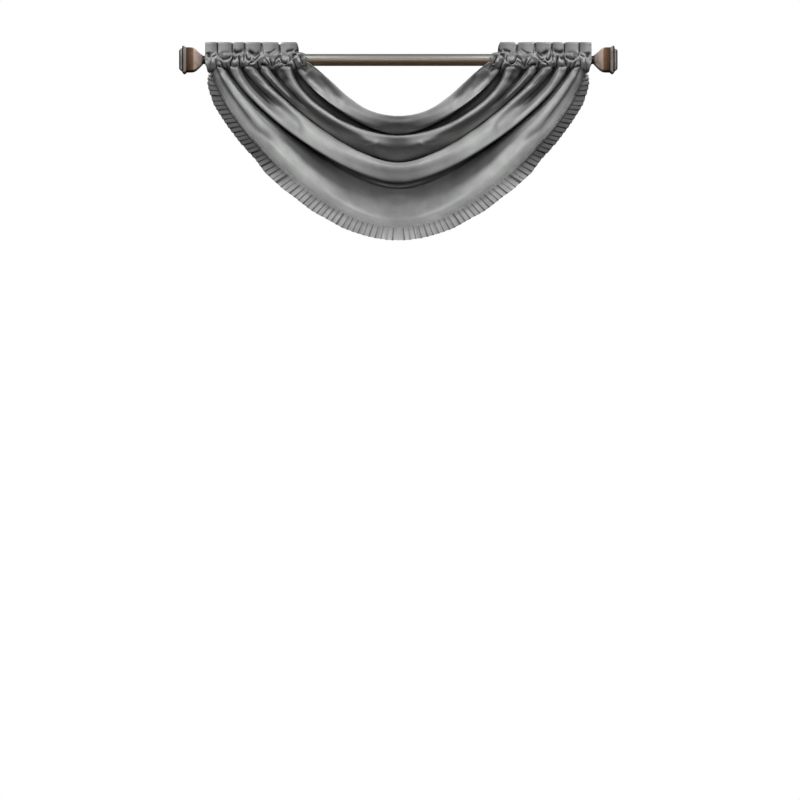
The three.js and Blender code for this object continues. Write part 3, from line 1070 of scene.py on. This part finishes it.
    def hem(self, count: int) -> tuple[Array, Array, Array]:
        """Evenly spaced places along the right half of the hem, from the heading to the middle.

        Args:
            count: How many spacings there are.

        Returns:
            The points, the directions along the hem towards the middle and the shares of the way.
        """
        t = np.linspace(0.0, 1.0, self.hem_samples + 1)
        fine = self.fold_points(self.fold_lines[-1], np.ones_like(t), t)
        length = run_lengths(fine, 0)
        places = np.linspace(0.0, length[-1], count + 1)
        points = read_along(places, length, fine)
        return points, unit(np.gradient(points, axis=0)), np.interp(places, length, t)


class PleatCorner(NamedTuple):
    """A corner of a knife pleat's section: share of the pitch along the hem and share of the lift."""

    along: float
    lift: float


class TurnStop(NamedTuple):
    """How the ruffle hangs at a share of the way to the middle: its turn and lean in degrees, its width."""

    t: float
    turn: float
    lean: float
    width: float


class HemPlaces(NamedTuple):
    """Places along the hem: shares of the way, points, directions, the pleats' slopes and the widths."""

    share: Array
    point: Array
    along: Array
    out: Array
    forward: Array
    slope: Array
    width: Array


@dataclass
class Ruffle:
    """The knife-pleated trim sewn along the hem."""

    finish: SatinFinish
    swag: Swag
    thickness: float = 0.0005
    rows: int = 8
    corner_steps: int = 3
    hem_spacings: int = 2400
    pitch: float = 0.014
    lift: float = 0.0030
    lead: float = 0.012
    low_shares: Span = (0.4, 0.55)
    tucks: Span = (0.004, 0.002)
    foot_backs: Span = (0.0024, -0.0012)
    foot_share: float = 0.2
    foot_reach: float = 0.25
    unevenness: float = 0.32
    uneven_pace: float = 0.7
    uneven_row: float = 5.0
    raggedness: float = 0.0012
    waver: float = 0.0026
    waver_length: float = 0.05
    # Painted shadow under the hem's seam, painted shade in the valleys between pleats, and a random tone
    # from pleat to pleat.
    seam_shades: Span = (0.8, 0.15)
    seam_reach: Span = (0.1, 0.32)
    pleat_shade: float = 0.9
    pleat_foot: float = 0.85
    valley_lifts: Span = (0.1, 0.32)
    pleat_tone: float = 0.25
    tone_pace: float = 1.3
    tone_levels: Span = (-0.1, 0.5)
    section: tuple[PleatCorner, ...] = tuple(starmap(PleatCorner, (
        (0.0, 0.10), (0.45, 0.55), (0.90, 0.95), (1.03, 0.80), (0.93, 0.35),
    )))
    turns: tuple[TurnStop, ...] = tuple(starmap(TurnStop, (
        (0.0, 76.0, 0.0, 0.0365), (0.05, 71.0, 18.0, 0.0365), (0.1, 60.0, 24.0, 0.0365),
        (0.2, 43.0, 24.0, 0.0365), (0.35, 42.0, 23.0, 0.0360), (0.45, 36.0, 20.0, 0.0330),
        (0.52, 8.0, 15.0, 0.0335), (0.6, -18.0, 12.0, 0.0350), (0.8, -20.0, 7.0, 0.0355),
        (0.93, -22.0, 3.0, 0.0340), (1.0, -30.0, 0.0, 0.0365),
    )))
    flat: Span = (2.0, 0.038)

    def hem_line(self) -> tuple[Array, Array, Array, Array]:
        """The right half of the hem, led up behind the heading.

        Returns:
            The points, the directions, the shares of the way to the middle and the distances along it.
        """
        points, along, t = self.swag.hem(self.hem_spacings)
        points = np.concatenate([points[:1] - self.lead * along[:1], points])
        along = np.concatenate([along[:1], along])
        t = np.concatenate([t[:1], t])
        return points, along, t, run_lengths(points, 0)

    def pleats(self, length: float) -> tuple[Array, Array]:
        """The pleats' section along the hem.

        Args:
            length: The hem's length.

        Returns:
            The distance along the hem and the share of the lift of each column.
        """
        count = round(length / self.pitch)
        pitch = length / count
        uneven = soft_noise(Pattern.PLEATS, (1 / self.uneven_pace, 1.0), np.arange(count), self.uneven_row)
        starts = np.arange(count) + self.unevenness * uneven
        corners = [(start + along, lift) for start in starts for along, lift in self.section]
        knots = [(place * pitch, lift * self.pitch) for place, lift in corners]
        knots.append((length, self.section[0].lift * self.pitch))
        curve = smooth_curve(np.array(knots), self.corner_steps)
        return np.clip(curve[:, 0], 0.0, length), curve[:, 1] / self.pitch

    def hem_places(self, distances: Array) -> HemPlaces:
        """The hem at some distances along it, with the way that the ruffle hangs there.

        Args:
            distances: How far along the hem each place is.

        Returns:
            The places.
        """
        points, along, t, lengths = self.hem_line()
        point, tangent = (read_along(distances, lengths, line) for line in (points, along))
        share = np.interp(distances, lengths, t)
        stops = np.array(self.turns).T
        turn, lean, width = (np.interp(share, stops[0], stop)[:, None] for stop in stops[1:])
        level = unit(np.cross(tangent, BACKWARDS))
        level *= -np.sign(level[:, 2:3])
        out = level * np.cos(np.radians(turn)) + BACKWARDS * np.sin(np.radians(turn))
        forward = unit(np.cross(tangent, out))
        forward *= -np.sign(forward[:, 1:2])
        return HemPlaces(share, point, tangent, out, forward, np.tan(np.radians(lean)), width)

    def half(self) -> tuple[Array, Array]:
        """The right half by column, from the heading to the middle, and row, from foot to edge.

        Returns:
            The points and how dark each one is painted: painted shade between pleats, a painted shadow of
            the hem at the foot, and a random tone per pleat.
        """
        distance, lift = self.pleats(self.hem_line()[3][-1])
        hem = self.hem_places(distance)
        down = np.linspace(0.0, 1.0, self.rows + 1)
        ragged = self.raggedness * soft_noise(Pattern.RAGGED_EDGE, (self.pitch, 1.0), distance)
        ragged += self.waver * soft_noise(Pattern.HEM_WAVER, (self.waver_length, 1.0), distance)
        low = smoothstep(hem.share, *self.low_shares)[:, None]
        tuck = blend(*self.tucks, low)
        reach = (hem.width + tuck) * down - tuck + ragged[:, None] * down**2
        raised = self.lift * blend(self.foot_share, 1.0, down) * lift[:, None]
        raised -= blend(*self.foot_backs, low) * step_down(down, 0.0, self.foot_reach)
        outward = hem.out - hem.slope * hem.along
        points = hem.point[:, None] + outward[:, None] * reach[..., None]
        points += hem.forward[:, None] * raised[..., None]
        # Painted shade in the valleys between pleats.
        valley = self.pleat_shade * step_down(lift, *self.valley_lifts)
        tones = soft_noise(Pattern.PLEAT_TONES, (self.pitch / self.tone_pace, 1.0), distance)
        tone = self.pleat_tone * smoothstep(tones, *self.tone_levels)
        shade = np.maximum(tone[:, None], valley[:, None] * blend(self.pleat_foot, 1.0, down))
        # Painted shadow of the hem across the ruffle's foot.
        seam = blend(*self.seam_shades, low) * step_down(down, *self.seam_reach)
        return points, np.maximum(shade, seam)

    def build(self) -> bpy.types.Object:
        """Model the ruffle in place of its solid.

        Returns:
            The ruffle.
        """
        right, shade = self.half()
        points = np.concatenate([right * MIRRORED, right[-2::-1]])
        along = run_lengths(points, 0)[:, :1]
        flat = np.stack(np.broadcast_arrays(along, -run_lengths(points, 1)), axis=-1)
        mesh = cloth_mesh("ruffle_cloth", points, flat, both_halves(shade))
        piece = add_object("ruffle_cloth", mesh, self.finish.material())
        thicken(piece, self.thickness)
        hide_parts("ruffle")
        return piece


class SectionKnot(NamedTuple):
    """A place on the heading's section: in front of the rod's axis and above it."""

    depth: float
    z: float


class Tab(NamedTuple):
    """A flat tab of the frill: its width, its inner edge's lean, its top's slope and its inner notch."""

    width: float
    lean: float
    slope: float
    notch: float


@dataclass
class Heading:
    """A gathered rod pocket with a standing frill, one on each side."""

    side: Side
    finish: SatinFinish
    outer_x: float = 0.5145
    inner_x: float = 0.248
    thickness: float = 0.0008
    columns: int = 360
    steps: int = 6
    front_knots: int = 11
    fullness: float = 2.2
    frill_inner_x: float = 0.2655
    frill_band: Span = (0.014, 0.022)
    frill_waist: float = 0.005
    waist_z: float = 0.027
    waist_reach: float = 0.018
    inner_ease: float = 0.18
    outer_draw: float = 0.007
    draw_band: Span = (0.002, 0.028)
    draw_start: float = 0.85
    top_band: Span = (0.030, 0.047)
    tab_bulge: float = 0.0024
    tab_tuck: float = 0.004
    tuck_start: float = 0.88
    # Painted shade across each tab, darker as it turns away towards its inner edge.
    tab_shade: float = 0.6
    tab_turn: Span = (0.2, 1.05)
    notch_width: float = 0.0035
    # Painted shadow along the frill's foot, in patches.
    foot_shade: float = 0.75
    foot_band: Span = (0.0135, 0.0065)
    foot_patch: float = 0.016
    foot_levels: Span = (-0.5, 0.4)
    gather_band: Span = (0.009, 0.025)
    lump_size: Span = (0.013, 0.012)
    lump_height: float = 0.0024
    wrinkle_size: Span = (0.005, 0.009)
    wrinkle_height: float = 0.0007
    puff_height: float = 0.0036
    crease_share: float = 0.5
    hollow_widening: float = 3.0
    # The crease depths at which painted shade starts and is full.
    dark_depths: Span = (0.0011, 0.0055)
    lip_drop: float = 0.002
    lip_pitch: float = 0.011
    lip_band: Span = (0.008, 0.022)
    back_pitch: float = 0.0125
    back_height: float = 0.0040
    back_level: float = 0.6
    back_band: Span = (0.014, 0.024)
    back_waver: float = 0.8
    back_waver_size: Span = (0.032, 0.020)
    lip_rises: tuple[Span, ...] = (
        (250, 0), (270, -2), (285, 4), (300, -1), (316, 4), (335, -3), (350, 2), (358, 4), (370, -2),
        (384, 6), (398, 3), (412, -2), (432, 4), (445, 0), (455, -3), (475, 3), (490, -4), (512, -7),
    )
    creases: tuple[Crease, ...] = HEADING_CREASES
    tabs: tuple[Tab, ...] = tuple(starmap(Tab, (
        (0.0335, 0.002, 0.0004, 0.0004), (0.0400, -0.001, -0.0004, 0.0018),
        (0.0325, 0.002, 0.0002, 0.0008), (0.0450, -0.002, 0.0, 0.0010),
        (0.0485, 0.001, -0.0006, 0.0060), (0.0490, 0.001, 0.0, 0.0),
    )))
    section: tuple[SectionKnot, ...] = tuple(starmap(SectionKnot, (
        (0.0070, -0.0235), (0.0115, -0.0240), (0.0185, -0.0190), (0.0222, -0.0105), (0.0218, 0.0000),
        (0.0200, 0.0098), (0.0186, 0.0162), (0.0174, 0.0205), (0.0162, 0.0270), (0.0146, 0.0360),
        (0.0132, 0.0440), (0.0114, 0.0463), (0.0092, 0.0443), (0.0080, 0.0360), (0.0060, 0.0270),
        (0.0000, 0.0205), (-0.0120, 0.0165), (-0.0190, 0.0080), (-0.0210, -0.0030), (-0.0170, -0.0140),
        (-0.0080, -0.0215), (0.0010, -0.0255), (0.0060, -0.0245),
    )))
    flat: Span = (0.36, 0.19)

    def frill_tabs(self, x: Array) -> tuple[Array, Array, Array]:
        """The frill's tabs across the heading.

        Args:
            x: Distances from the middle of the rod.

        Returns:
            How far each place stands forward, how much higher its top is and how dark it is painted as it
            turns away.
        """
        forward, rise, shade = np.zeros((3, *x.shape))
        outer = self.outer_x
        for tab in self.tabs:
            share = (outer - x) / tab.width
            inside = (share >= 0.0) & (share < 1.0)
            bulge = self.tab_bulge * (1 - (2 * share - 1) ** 2)
            tuck = self.tab_tuck * smoothstep(share, self.tuck_start, 1.0)
            forward = np.where(inside, bulge - tab.lean * (share - 0.5) - tuck, forward)
            rise = np.where(inside, rise + tab.slope * (2 * share - 1), rise)
            # Painted shade, darker towards the tab's inner edge.
            shade = np.where(inside, self.tab_shade * smoothstep(share, *self.tab_turn), shade)
            outer -= tab.width
            rise = rise - tab.notch * np.exp(-(((x - outer) / self.notch_width) ** 2))
        return forward, rise, shade

    def front_lift(self, x: Array, z: Array) -> tuple[Array, Array]:
        """How far the front of the pocket and the frill's foot is lifted by its gathers and creases.

        Args:
            x: Distances from the middle of the rod.
            z: Heights.

        Returns:
            The lift of each place and the depth of the crease that it lies in.
        """
        lift = self.lump_height * soft_noise(Pattern.LUMPS, self.lump_size, x, z)
        lift += self.wrinkle_height * soft_noise(Pattern.WRINKLES, self.wrinkle_size, x, z)
        front = np.stack(np.broadcast_arrays(x, z), axis=-1)
        line, hollow = np.zeros((2, *lift.shape))
        for crease in self.creases:
            share = crease.share(front)
            line = np.maximum(line, MM * crease.depth * share)
            hollow = np.maximum(hollow, MM * crease.depth * share ** (1 / self.hollow_widening**2))
        gathered = step_down(z, *self.gather_band)
        lift = gathered * (lift + self.puff_height - self.crease_share * hollow)
        return lift - self.crease_share * line, line

    def back_lift(self, x: Array, z: Array) -> Array:
        """How far the back of the pocket is lifted by plain upright gathers.

        Args:
            x: Distances from the middle of the rod.
            z: Heights.

        Returns:
            The lift of each place.
        """
        waver = self.back_waver * soft_noise(Pattern.BACK_GATHERS, self.back_waver_size, x, z)
        phase = x / self.back_pitch + waver
        across = 2 * (phase - np.floor(phase)) - 1
        gather = np.sqrt(np.maximum(0.0, 1 - across * across)) - self.back_level
        return step_down(z, *self.back_band) * self.back_height * gather

    def lip_rise(self, x: Array, z: Array) -> Array:
        """How much higher the pocket's ragged lip hangs at each place.

        Args:
            x: Distances from the middle of the rod.
            z: Heights.

        Returns:
            The rises.
        """
        ragged = self.lip_drop * soft_noise(Pattern.LIP, (self.lip_pitch, 1.0), x)
        ragged += MM * np.interp(x / MM, *np.array(self.lip_rises).T)
        return smoothstep(-z, *self.lip_band) * ragged

    def foot_shadow(self, x: Array, z: Array) -> Array:
        """Painted shadow along the frill's foot: how dark each place is painted, in patches.

        Args:
            x: Distances from the middle of the rod.
            z: Heights.

        Returns:
            How dark each place is painted.
        """
        middle, spread = self.foot_band
        patch = smoothstep(soft_noise(Pattern.PATCHES, (self.foot_patch, 1.0), x), *self.foot_levels)
        return self.foot_shade * patch * np.exp(-(((z - middle) / spread) ** 2))

    def places(self, z: Array) -> Array:
        """Distances from the middle of the rod, drawn in at the frill's inner and the lip's outer end.

        Args:
            z: The section's heights.

        Returns:
            The distances by column and row.
        """
        place = np.linspace(self.inner_x, self.outer_x, self.columns + 1)[:, None]
        share = (place - self.inner_x) / (self.outer_x - self.inner_x)
        waist = self.frill_waist * ((z - self.waist_z) / self.waist_reach) ** 2
        inner = smoothstep(z, *self.frill_band) * (self.frill_inner_x + waist - self.inner_x)
        outer = self.outer_draw * smoothstep(-z, *self.draw_band)
        eased = place + inner * step_down(share, 0.0, self.inner_ease)
        return eased - outer * smoothstep(share, self.draw_start, 1.0)

    def points(self) -> tuple[Array, Array, Array]:
        """The heading's points by column, from left to right, and row.

        Returns:
            The points, each one's place on the flat cloth and how dark it is painted as shade in creases, on
            turned tabs and along the frill's foot.
        """
        section = smooth_curve(np.array(self.section), self.steps)
        outward = unit(np.gradient(section, axis=0)[:, ::-1] * np.array([1.0, -1.0]))
        is_front = np.arange(len(section)) < self.front_knots * self.steps
        depth, z = section.T[:, None]
        x = self.places(z)
        frill = smoothstep(z, *self.frill_band)
        forward, rise, shade = self.frill_tabs(x)
        front_lift, line = self.front_lift(x, z)
        lift = np.where(is_front, front_lift, self.back_lift(x, z))
        new_depth = depth + lift * outward[:, 0] + frill * forward
        new_z = z + lift * outward[:, 1] + smoothstep(z, *self.top_band) * rise
        new_z = new_z + is_front * self.lip_rise(x, z)
        points = np.stack([x, -new_depth, new_z], axis=-1)
        # Painted shade in the creases and on the tabs' turned edges, and painted shadow at the frill's foot,
        # on the front only.
        dark = np.maximum(smoothstep(line, *self.dark_depths), frill * shade)
        hollow = is_front * np.maximum(dark, self.foot_shadow(x, z))
        flat = np.stack(np.broadcast_arrays(self.fullness * x, -run_lengths(section, 0)), axis=-1)
        if self.side is Side.LEFT:
            return (points * MIRRORED)[::-1], flat[::-1], hollow[::-1]
        return points, flat, hollow

    def build(self) -> bpy.types.Object:
        """Model the heading in place of its solid.

        Returns:
            The heading.
        """
        name = f"heading_cloth_{self.side.word}"
        points, flat, hollow = (grid[:, ::-1] for grid in self.points())
        piece = add_object(name, cloth_mesh(name, points, flat, hollow), self.finish.material())
        thicken(piece, self.thickness)
        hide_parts(f"heading_{self.side.word}")
        return piece


@dataclass
class Rod:
    """The plain round curtain rod."""

    finish: PewterFinish
    radius: float = ROD_RADIUS
    half_length: float = 0.514
    segments: int = 96
    edge: float = 0.0008
    edge_segments: int = 2

    def build(self) -> bpy.types.Object:
        """Model the rod in place of its solid.

        Returns:
            The rod.
        """
        shape = bmesh.new()
        turned = Matrix.Rotation(math.pi / 2, 4, "Y")
        bmesh.ops.create_cone(
            shape,
            cap_ends=True,
            segments=self.segments,
            radius1=self.radius,
            radius2=self.radius,
            depth=2 * self.half_length,
            matrix=turned,
        )
        rims = [edge for edge in shape.edges if abs(edge.verts[0].co.x - edge.verts[1].co.x) < self.edge]
        soften(shape, rims, self.edge, self.edge_segments)
        mesh = finished_mesh(shape, "curtain_rod")
        piece = add_object("curtain_rod", mesh, self.finish.material())
        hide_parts("rod")
        return piece


class TurnKnot(NamedTuple):
    """A place on a finial: distance from the middle of the rod and half its width there."""

    x: float
    half: float


@dataclass
class Finial:
    """A square flared finial with a block, a bevelled rim, a cap and a round neck."""

    side: Side
    bronze: BronzeFinish
    dark: BronzeFinish
    corner: float = 0.0032
    corner_segments: int = 3
    sharp_angle: float = 28.0
    neck_segments: int = 48
    body: tuple[TurnKnot, ...] = tuple(starmap(TurnKnot, (
        (0.5214, 0.0120), (0.5310, 0.0210), (0.5390, 0.0275), (0.5460, 0.0308),
        (0.5520, 0.0316), (0.5640, 0.0316), (0.5710, 0.0368), (0.5750, 0.0345),
    )))
    cap: tuple[TurnKnot, ...] = tuple(starmap(TurnKnot, (
        (0.5754, 0.0300), (0.5785, 0.0290), (0.5835, 0.0250),
    )))
    neck: tuple[TurnKnot, ...] = tuple(starmap(TurnKnot, (
        (0.5144, 0.0120), (0.5156, 0.0120), (0.5172, 0.0110), (0.5194, 0.0110), (0.5210, 0.0120),
    )))

    def square_turning(self, name: str, knots: Sequence[TurnKnot]) -> bpy.types.Mesh:
        """A square section drawn along the rod with softened corners.

        Args:
            name: The mesh's name.
            knots: Its half width at each place.

        Returns:
            The mesh.
        """
        shape = bmesh.new()
        turned = Matrix.Rotation(math.pi / 4, 4, "X") @ Matrix.Rotation(math.pi / 2, 4, "Y")
        start = Matrix.Translation((knots[0].x, 0.0, 0.0)) @ turned
        radius = knots[0].half * math.sqrt(2.0)
        bmesh.ops.create_circle(shape, cap_ends=True, segments=4, radius=radius, matrix=start)
        face = shape.faces[:][0]
        for before, knot in zip(knots, knots[1:]):
            grown = bmesh.ops.extrude_face_region(shape, geom=[face])["geom"]
            if before is not knots[0]:
                bmesh.ops.delete(shape, geom=[face], context="FACES_ONLY")
            ring = [item for item in grown if isinstance(item, bmesh.types.BMVert)]
            face = next(item for item in grown if isinstance(item, bmesh.types.BMFace))
            widen = knot.half / before.half
            bmesh.ops.scale(shape, vec=(1.0, widen, widen), verts=ring)
            bmesh.ops.translate(shape, vec=(knot.x - before.x, 0.0, 0.0), verts=ring)
        bmesh.ops.recalc_face_normals(shape, faces=shape.faces[:])
        corners = [edge for edge in shape.edges if abs(edge.verts[0].co.x - edge.verts[1].co.x) > MERGE_GAP]
        soften(shape, corners, self.corner, self.corner_segments)
        bmesh.ops.scale(shape, vec=(self.side.value, 1.0, 1.0), verts=shape.verts[:])
        bmesh.ops.recalc_face_normals(shape, faces=shape.faces[:])
        mesh = finished_mesh(shape, name)
        mesh.set_sharp_from_angle(angle=math.radians(self.sharp_angle))
        return mesh

    def neck_mesh(self, name: str) -> bpy.types.Mesh:
        """The round neck, turned about the rod's axis.

        Args:
            name: The mesh's name.

        Returns:
            The mesh.
        """
        shape = bmesh.new()
        profile = [TurnKnot(self.neck[0].x, 0.0), *self.neck, TurnKnot(self.neck[-1].x, 0.0)]
        verts = [shape.verts.new((knot.x * self.side.value, 0.0, knot.half)) for knot in profile]
        edges = [shape.edges.new(pair) for pair in zip(verts, verts[1:])]
        bmesh.ops.spin(
            shape,
            geom=[*verts, *edges],
            cent=(0.0, 0.0, 0.0),
            axis=(1.0, 0.0, 0.0),
            angle=2 * math.pi,
            steps=self.neck_segments,
            use_merge=True,
        )
        bmesh.ops.remove_doubles(shape, verts=shape.verts[:], dist=MERGE_GAP)
        bmesh.ops.recalc_face_normals(shape, faces=shape.faces[:])
        return finished_mesh(shape, name)

    def build(self) -> list[bpy.types.Object]:
        """Model the finial's three pieces in place of their solids.

        Returns:
            The body, the cap and the neck.
        """
        word = self.side.word
        flare, end_cap, neck = f"flare_{word}", f"end_cap_{word}", f"neck_{word}"
        body = add_object(flare, self.square_turning(flare, self.body), self.bronze.material())
        cap = add_object(end_cap, self.square_turning(end_cap, self.cap), self.bronze.material())
        collar = add_object(neck, self.neck_mesh(neck), self.dark.material())
        for piece, node, slot in (
            (body, f"finial_body_{word}", "finial_bronze"),
            (cap, f"finial_cap_{word}", "finial_bronze"),
            (collar, f"finial_collar_{word}", "collar_dark"),
        ):
            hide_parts(node)
        return [body, cap, collar]


class Lamp(NamedTuple):
    """A soft studio light: where it stands, what it faces, its size, power and spread in degrees."""

    name: str
    place: tuple[float, float, float]
    aim: tuple[float, float, float]
    size: float
    power: float
    spread: float


@dataclass
class Studio:
    """Pale floor, soft lights and the camera."""

    floor_finish: FloorFinish
    floor_z: float = -2.3
    floor_radius: float = 3.4
    floor_segments: int = 96
    camera_distance: float = 12.0
    camera_x: float = 0.0045
    camera_z: float = -0.9067
    frame_width: float = 2.1333
    sensor: float = 36.0
    view_depth: float = 100.0
    background: float = 1.0
    ambient: float = 0.036
    lamps: tuple[Lamp, ...] = (
        Lamp("left_lamp", (-2.0, -2.0, 2.9), (0.20, 0.0, -0.20), 1.4, 50.0, 120.0),
        Lamp("right_lamp", (2.0, -2.0, 2.9), (-0.20, 0.0, -0.20), 1.4, 50.0, 120.0),
        Lamp("front_lamp", (0.0, -4.0, 0.6), (0.0, 0.0, -0.1), 1.6, 9.0, 120.0),
        Lamp("back_left_lamp", (-2.2, 3.0, 1.4), (0.0, 0.0, -0.25), 1.6, 34.0, 100.0),
        Lamp("back_right_lamp", (2.2, 3.0, 1.4), (0.0, 0.0, -0.25), 1.6, 34.0, 100.0),
    )

    def floor(self) -> None:
        """Lay the floor, whose glow doesn't reach the cloth."""
        shape = bmesh.new()
        bmesh.ops.create_circle(
            shape, cap_ends=True, segments=self.floor_segments, radius=self.floor_radius
        )
        bmesh.ops.translate(shape, vec=(0.0, 0.0, self.floor_z), verts=shape.verts[:])
        mesh = finished_mesh(shape, "floor", smooth=False)
        mesh.materials.append(self.floor_finish.material())
        floor = placed("floor", mesh)
        floor.visible_diffuse = False
        floor.visible_glossy = False

    def light(self) -> None:
        """Hang the lamps and the white surround, which lights the cloth less than it shows."""
        for lamp in self.lamps:
            data = bpy.data.lights.new(lamp.name, "AREA")
            data.shape = "DISK"
            data.size = lamp.size
            data.energy = lamp.power
            data.spread = math.radians(lamp.spread)
            light = placed(lamp.name, data)
            light.location = lamp.place
            facing = Vector(lamp.aim) - Vector(lamp.place)
            light.rotation_euler = facing.to_track_quat("-Z", "Y").to_euler()
        world = bpy.data.worlds.new("surround")
        world.use_nodes = True
        tree = world.node_tree
        background = tree.nodes["Background"]
        rays = tree.nodes.new("ShaderNodeLightPath")
        level = tree.nodes.new("ShaderNodeMapRange")
        level.inputs["To Min"].default_value = self.ambient
        level.inputs["To Max"].default_value = self.background
        tree.links.new(rays.outputs["Is Camera Ray"], level.inputs["Value"])
        tree.links.new(level.outputs["Result"], background.inputs["Strength"])
        background.inputs["Color"].default_value = (1.0, 1.0, 1.0, 1.0)
        bpy.context.scene.world = world

    def camera(self) -> None:
        """Stand the camera level, straight in front of the valance."""
        data = bpy.data.cameras.new("camera")
        data.sensor_width = self.sensor
        data.lens = self.sensor * self.camera_distance / self.frame_width
        data.clip_end = self.view_depth
        camera = placed("camera", data)
        camera.location = (self.camera_x, -self.camera_distance, self.camera_z)
        camera.rotation_euler = (math.pi / 2, 0.0, 0.0)
        bpy.context.scene.camera = camera
        bpy.context.scene.view_settings.view_transform = "Standard"

    def build(self) -> None:
        """Set up the studio."""
        self.floor()
        self.light()
        self.camera()


# The finials' colour bands, outwards from the rod: patina together with painted highlights, reflections and
# shade.
BRONZE_PATINA_AND_LIGHT_BANDS = tuple(starmap(BandStop, (
    (0.5214, (0.42, 0.335, 0.32)), (0.5380, (0.62, 0.49, 0.43)), (0.5430, (0.58, 0.44, 0.36)),
    (0.5470, (0.215, 0.105, 0.050)), (0.5540, (0.105, 0.050, 0.020)), (0.5610, (0.044, 0.023, 0.009)),
    (0.5640, (0.024, 0.017, 0.013)), (0.5652, (0.42, 0.33, 0.295)), (0.5710, (0.42, 0.33, 0.295)),
    (0.5722, (0.022, 0.018, 0.014)), (0.5752, (0.030, 0.027, 0.023)), (0.5762, (0.46, 0.48, 0.43)),
    (0.5795, (0.42, 0.44, 0.39)), (0.5810, (0.030, 0.037, 0.031)), (0.5840, (0.030, 0.037, 0.031)),
)))
DARK_BANDS = (BandStop(0.513, (0.030, 0.018, 0.017)), BandStop(0.524, (0.045, 0.026, 0.025)))
SATIN_GREY = (0.27, 0.275, 0.27)


def main() -> None:
    """Build the studio and every piece of the valance."""
    logging.basicConfig(level=logging.INFO, format="%(message)s")
    satin = SatinFinish("grey_satin", SATIN_GREY, metal_share=0.5, stitch_rows=(0.004, 0.0065))
    gathered = SatinFinish("gathered_satin", SATIN_GREY, metal_share=0.5)
    trim = SatinFinish("pleated_satin", SATIN_GREY, roughness=0.46, metal_share=0.2)
    # The pewter's brown second tone is painted shade on the rod's underside.
    pewter = PewterFinish("brushed_pewter", (0.28, 0.275, 0.255), aged_and_shade_tone=(0.42, 0.25, 0.13))
    bronze = BronzeFinish("antique_bronze", BRONZE_PATINA_AND_LIGHT_BANDS)
    dark = BronzeFinish("dark_bronze", DARK_BANDS)
    Studio(FloorFinish("pale_floor", (0.8, 0.8, 0.79), glow=0.6)).build()
    swag = Swag(satin)
    pieces = [swag.build(), Ruffle(trim, swag).build(), Rod(pewter).build()]
    for side in Side:
        pieces.append(Heading(side, gathered).build())
        pieces.extend(Finial(side, bronze, dark).build())
    for piece in pieces:
        LOG.info("%s: %d faces", piece.name, len(piece.data.polygons))


if __name__ == "__main__":
    main()
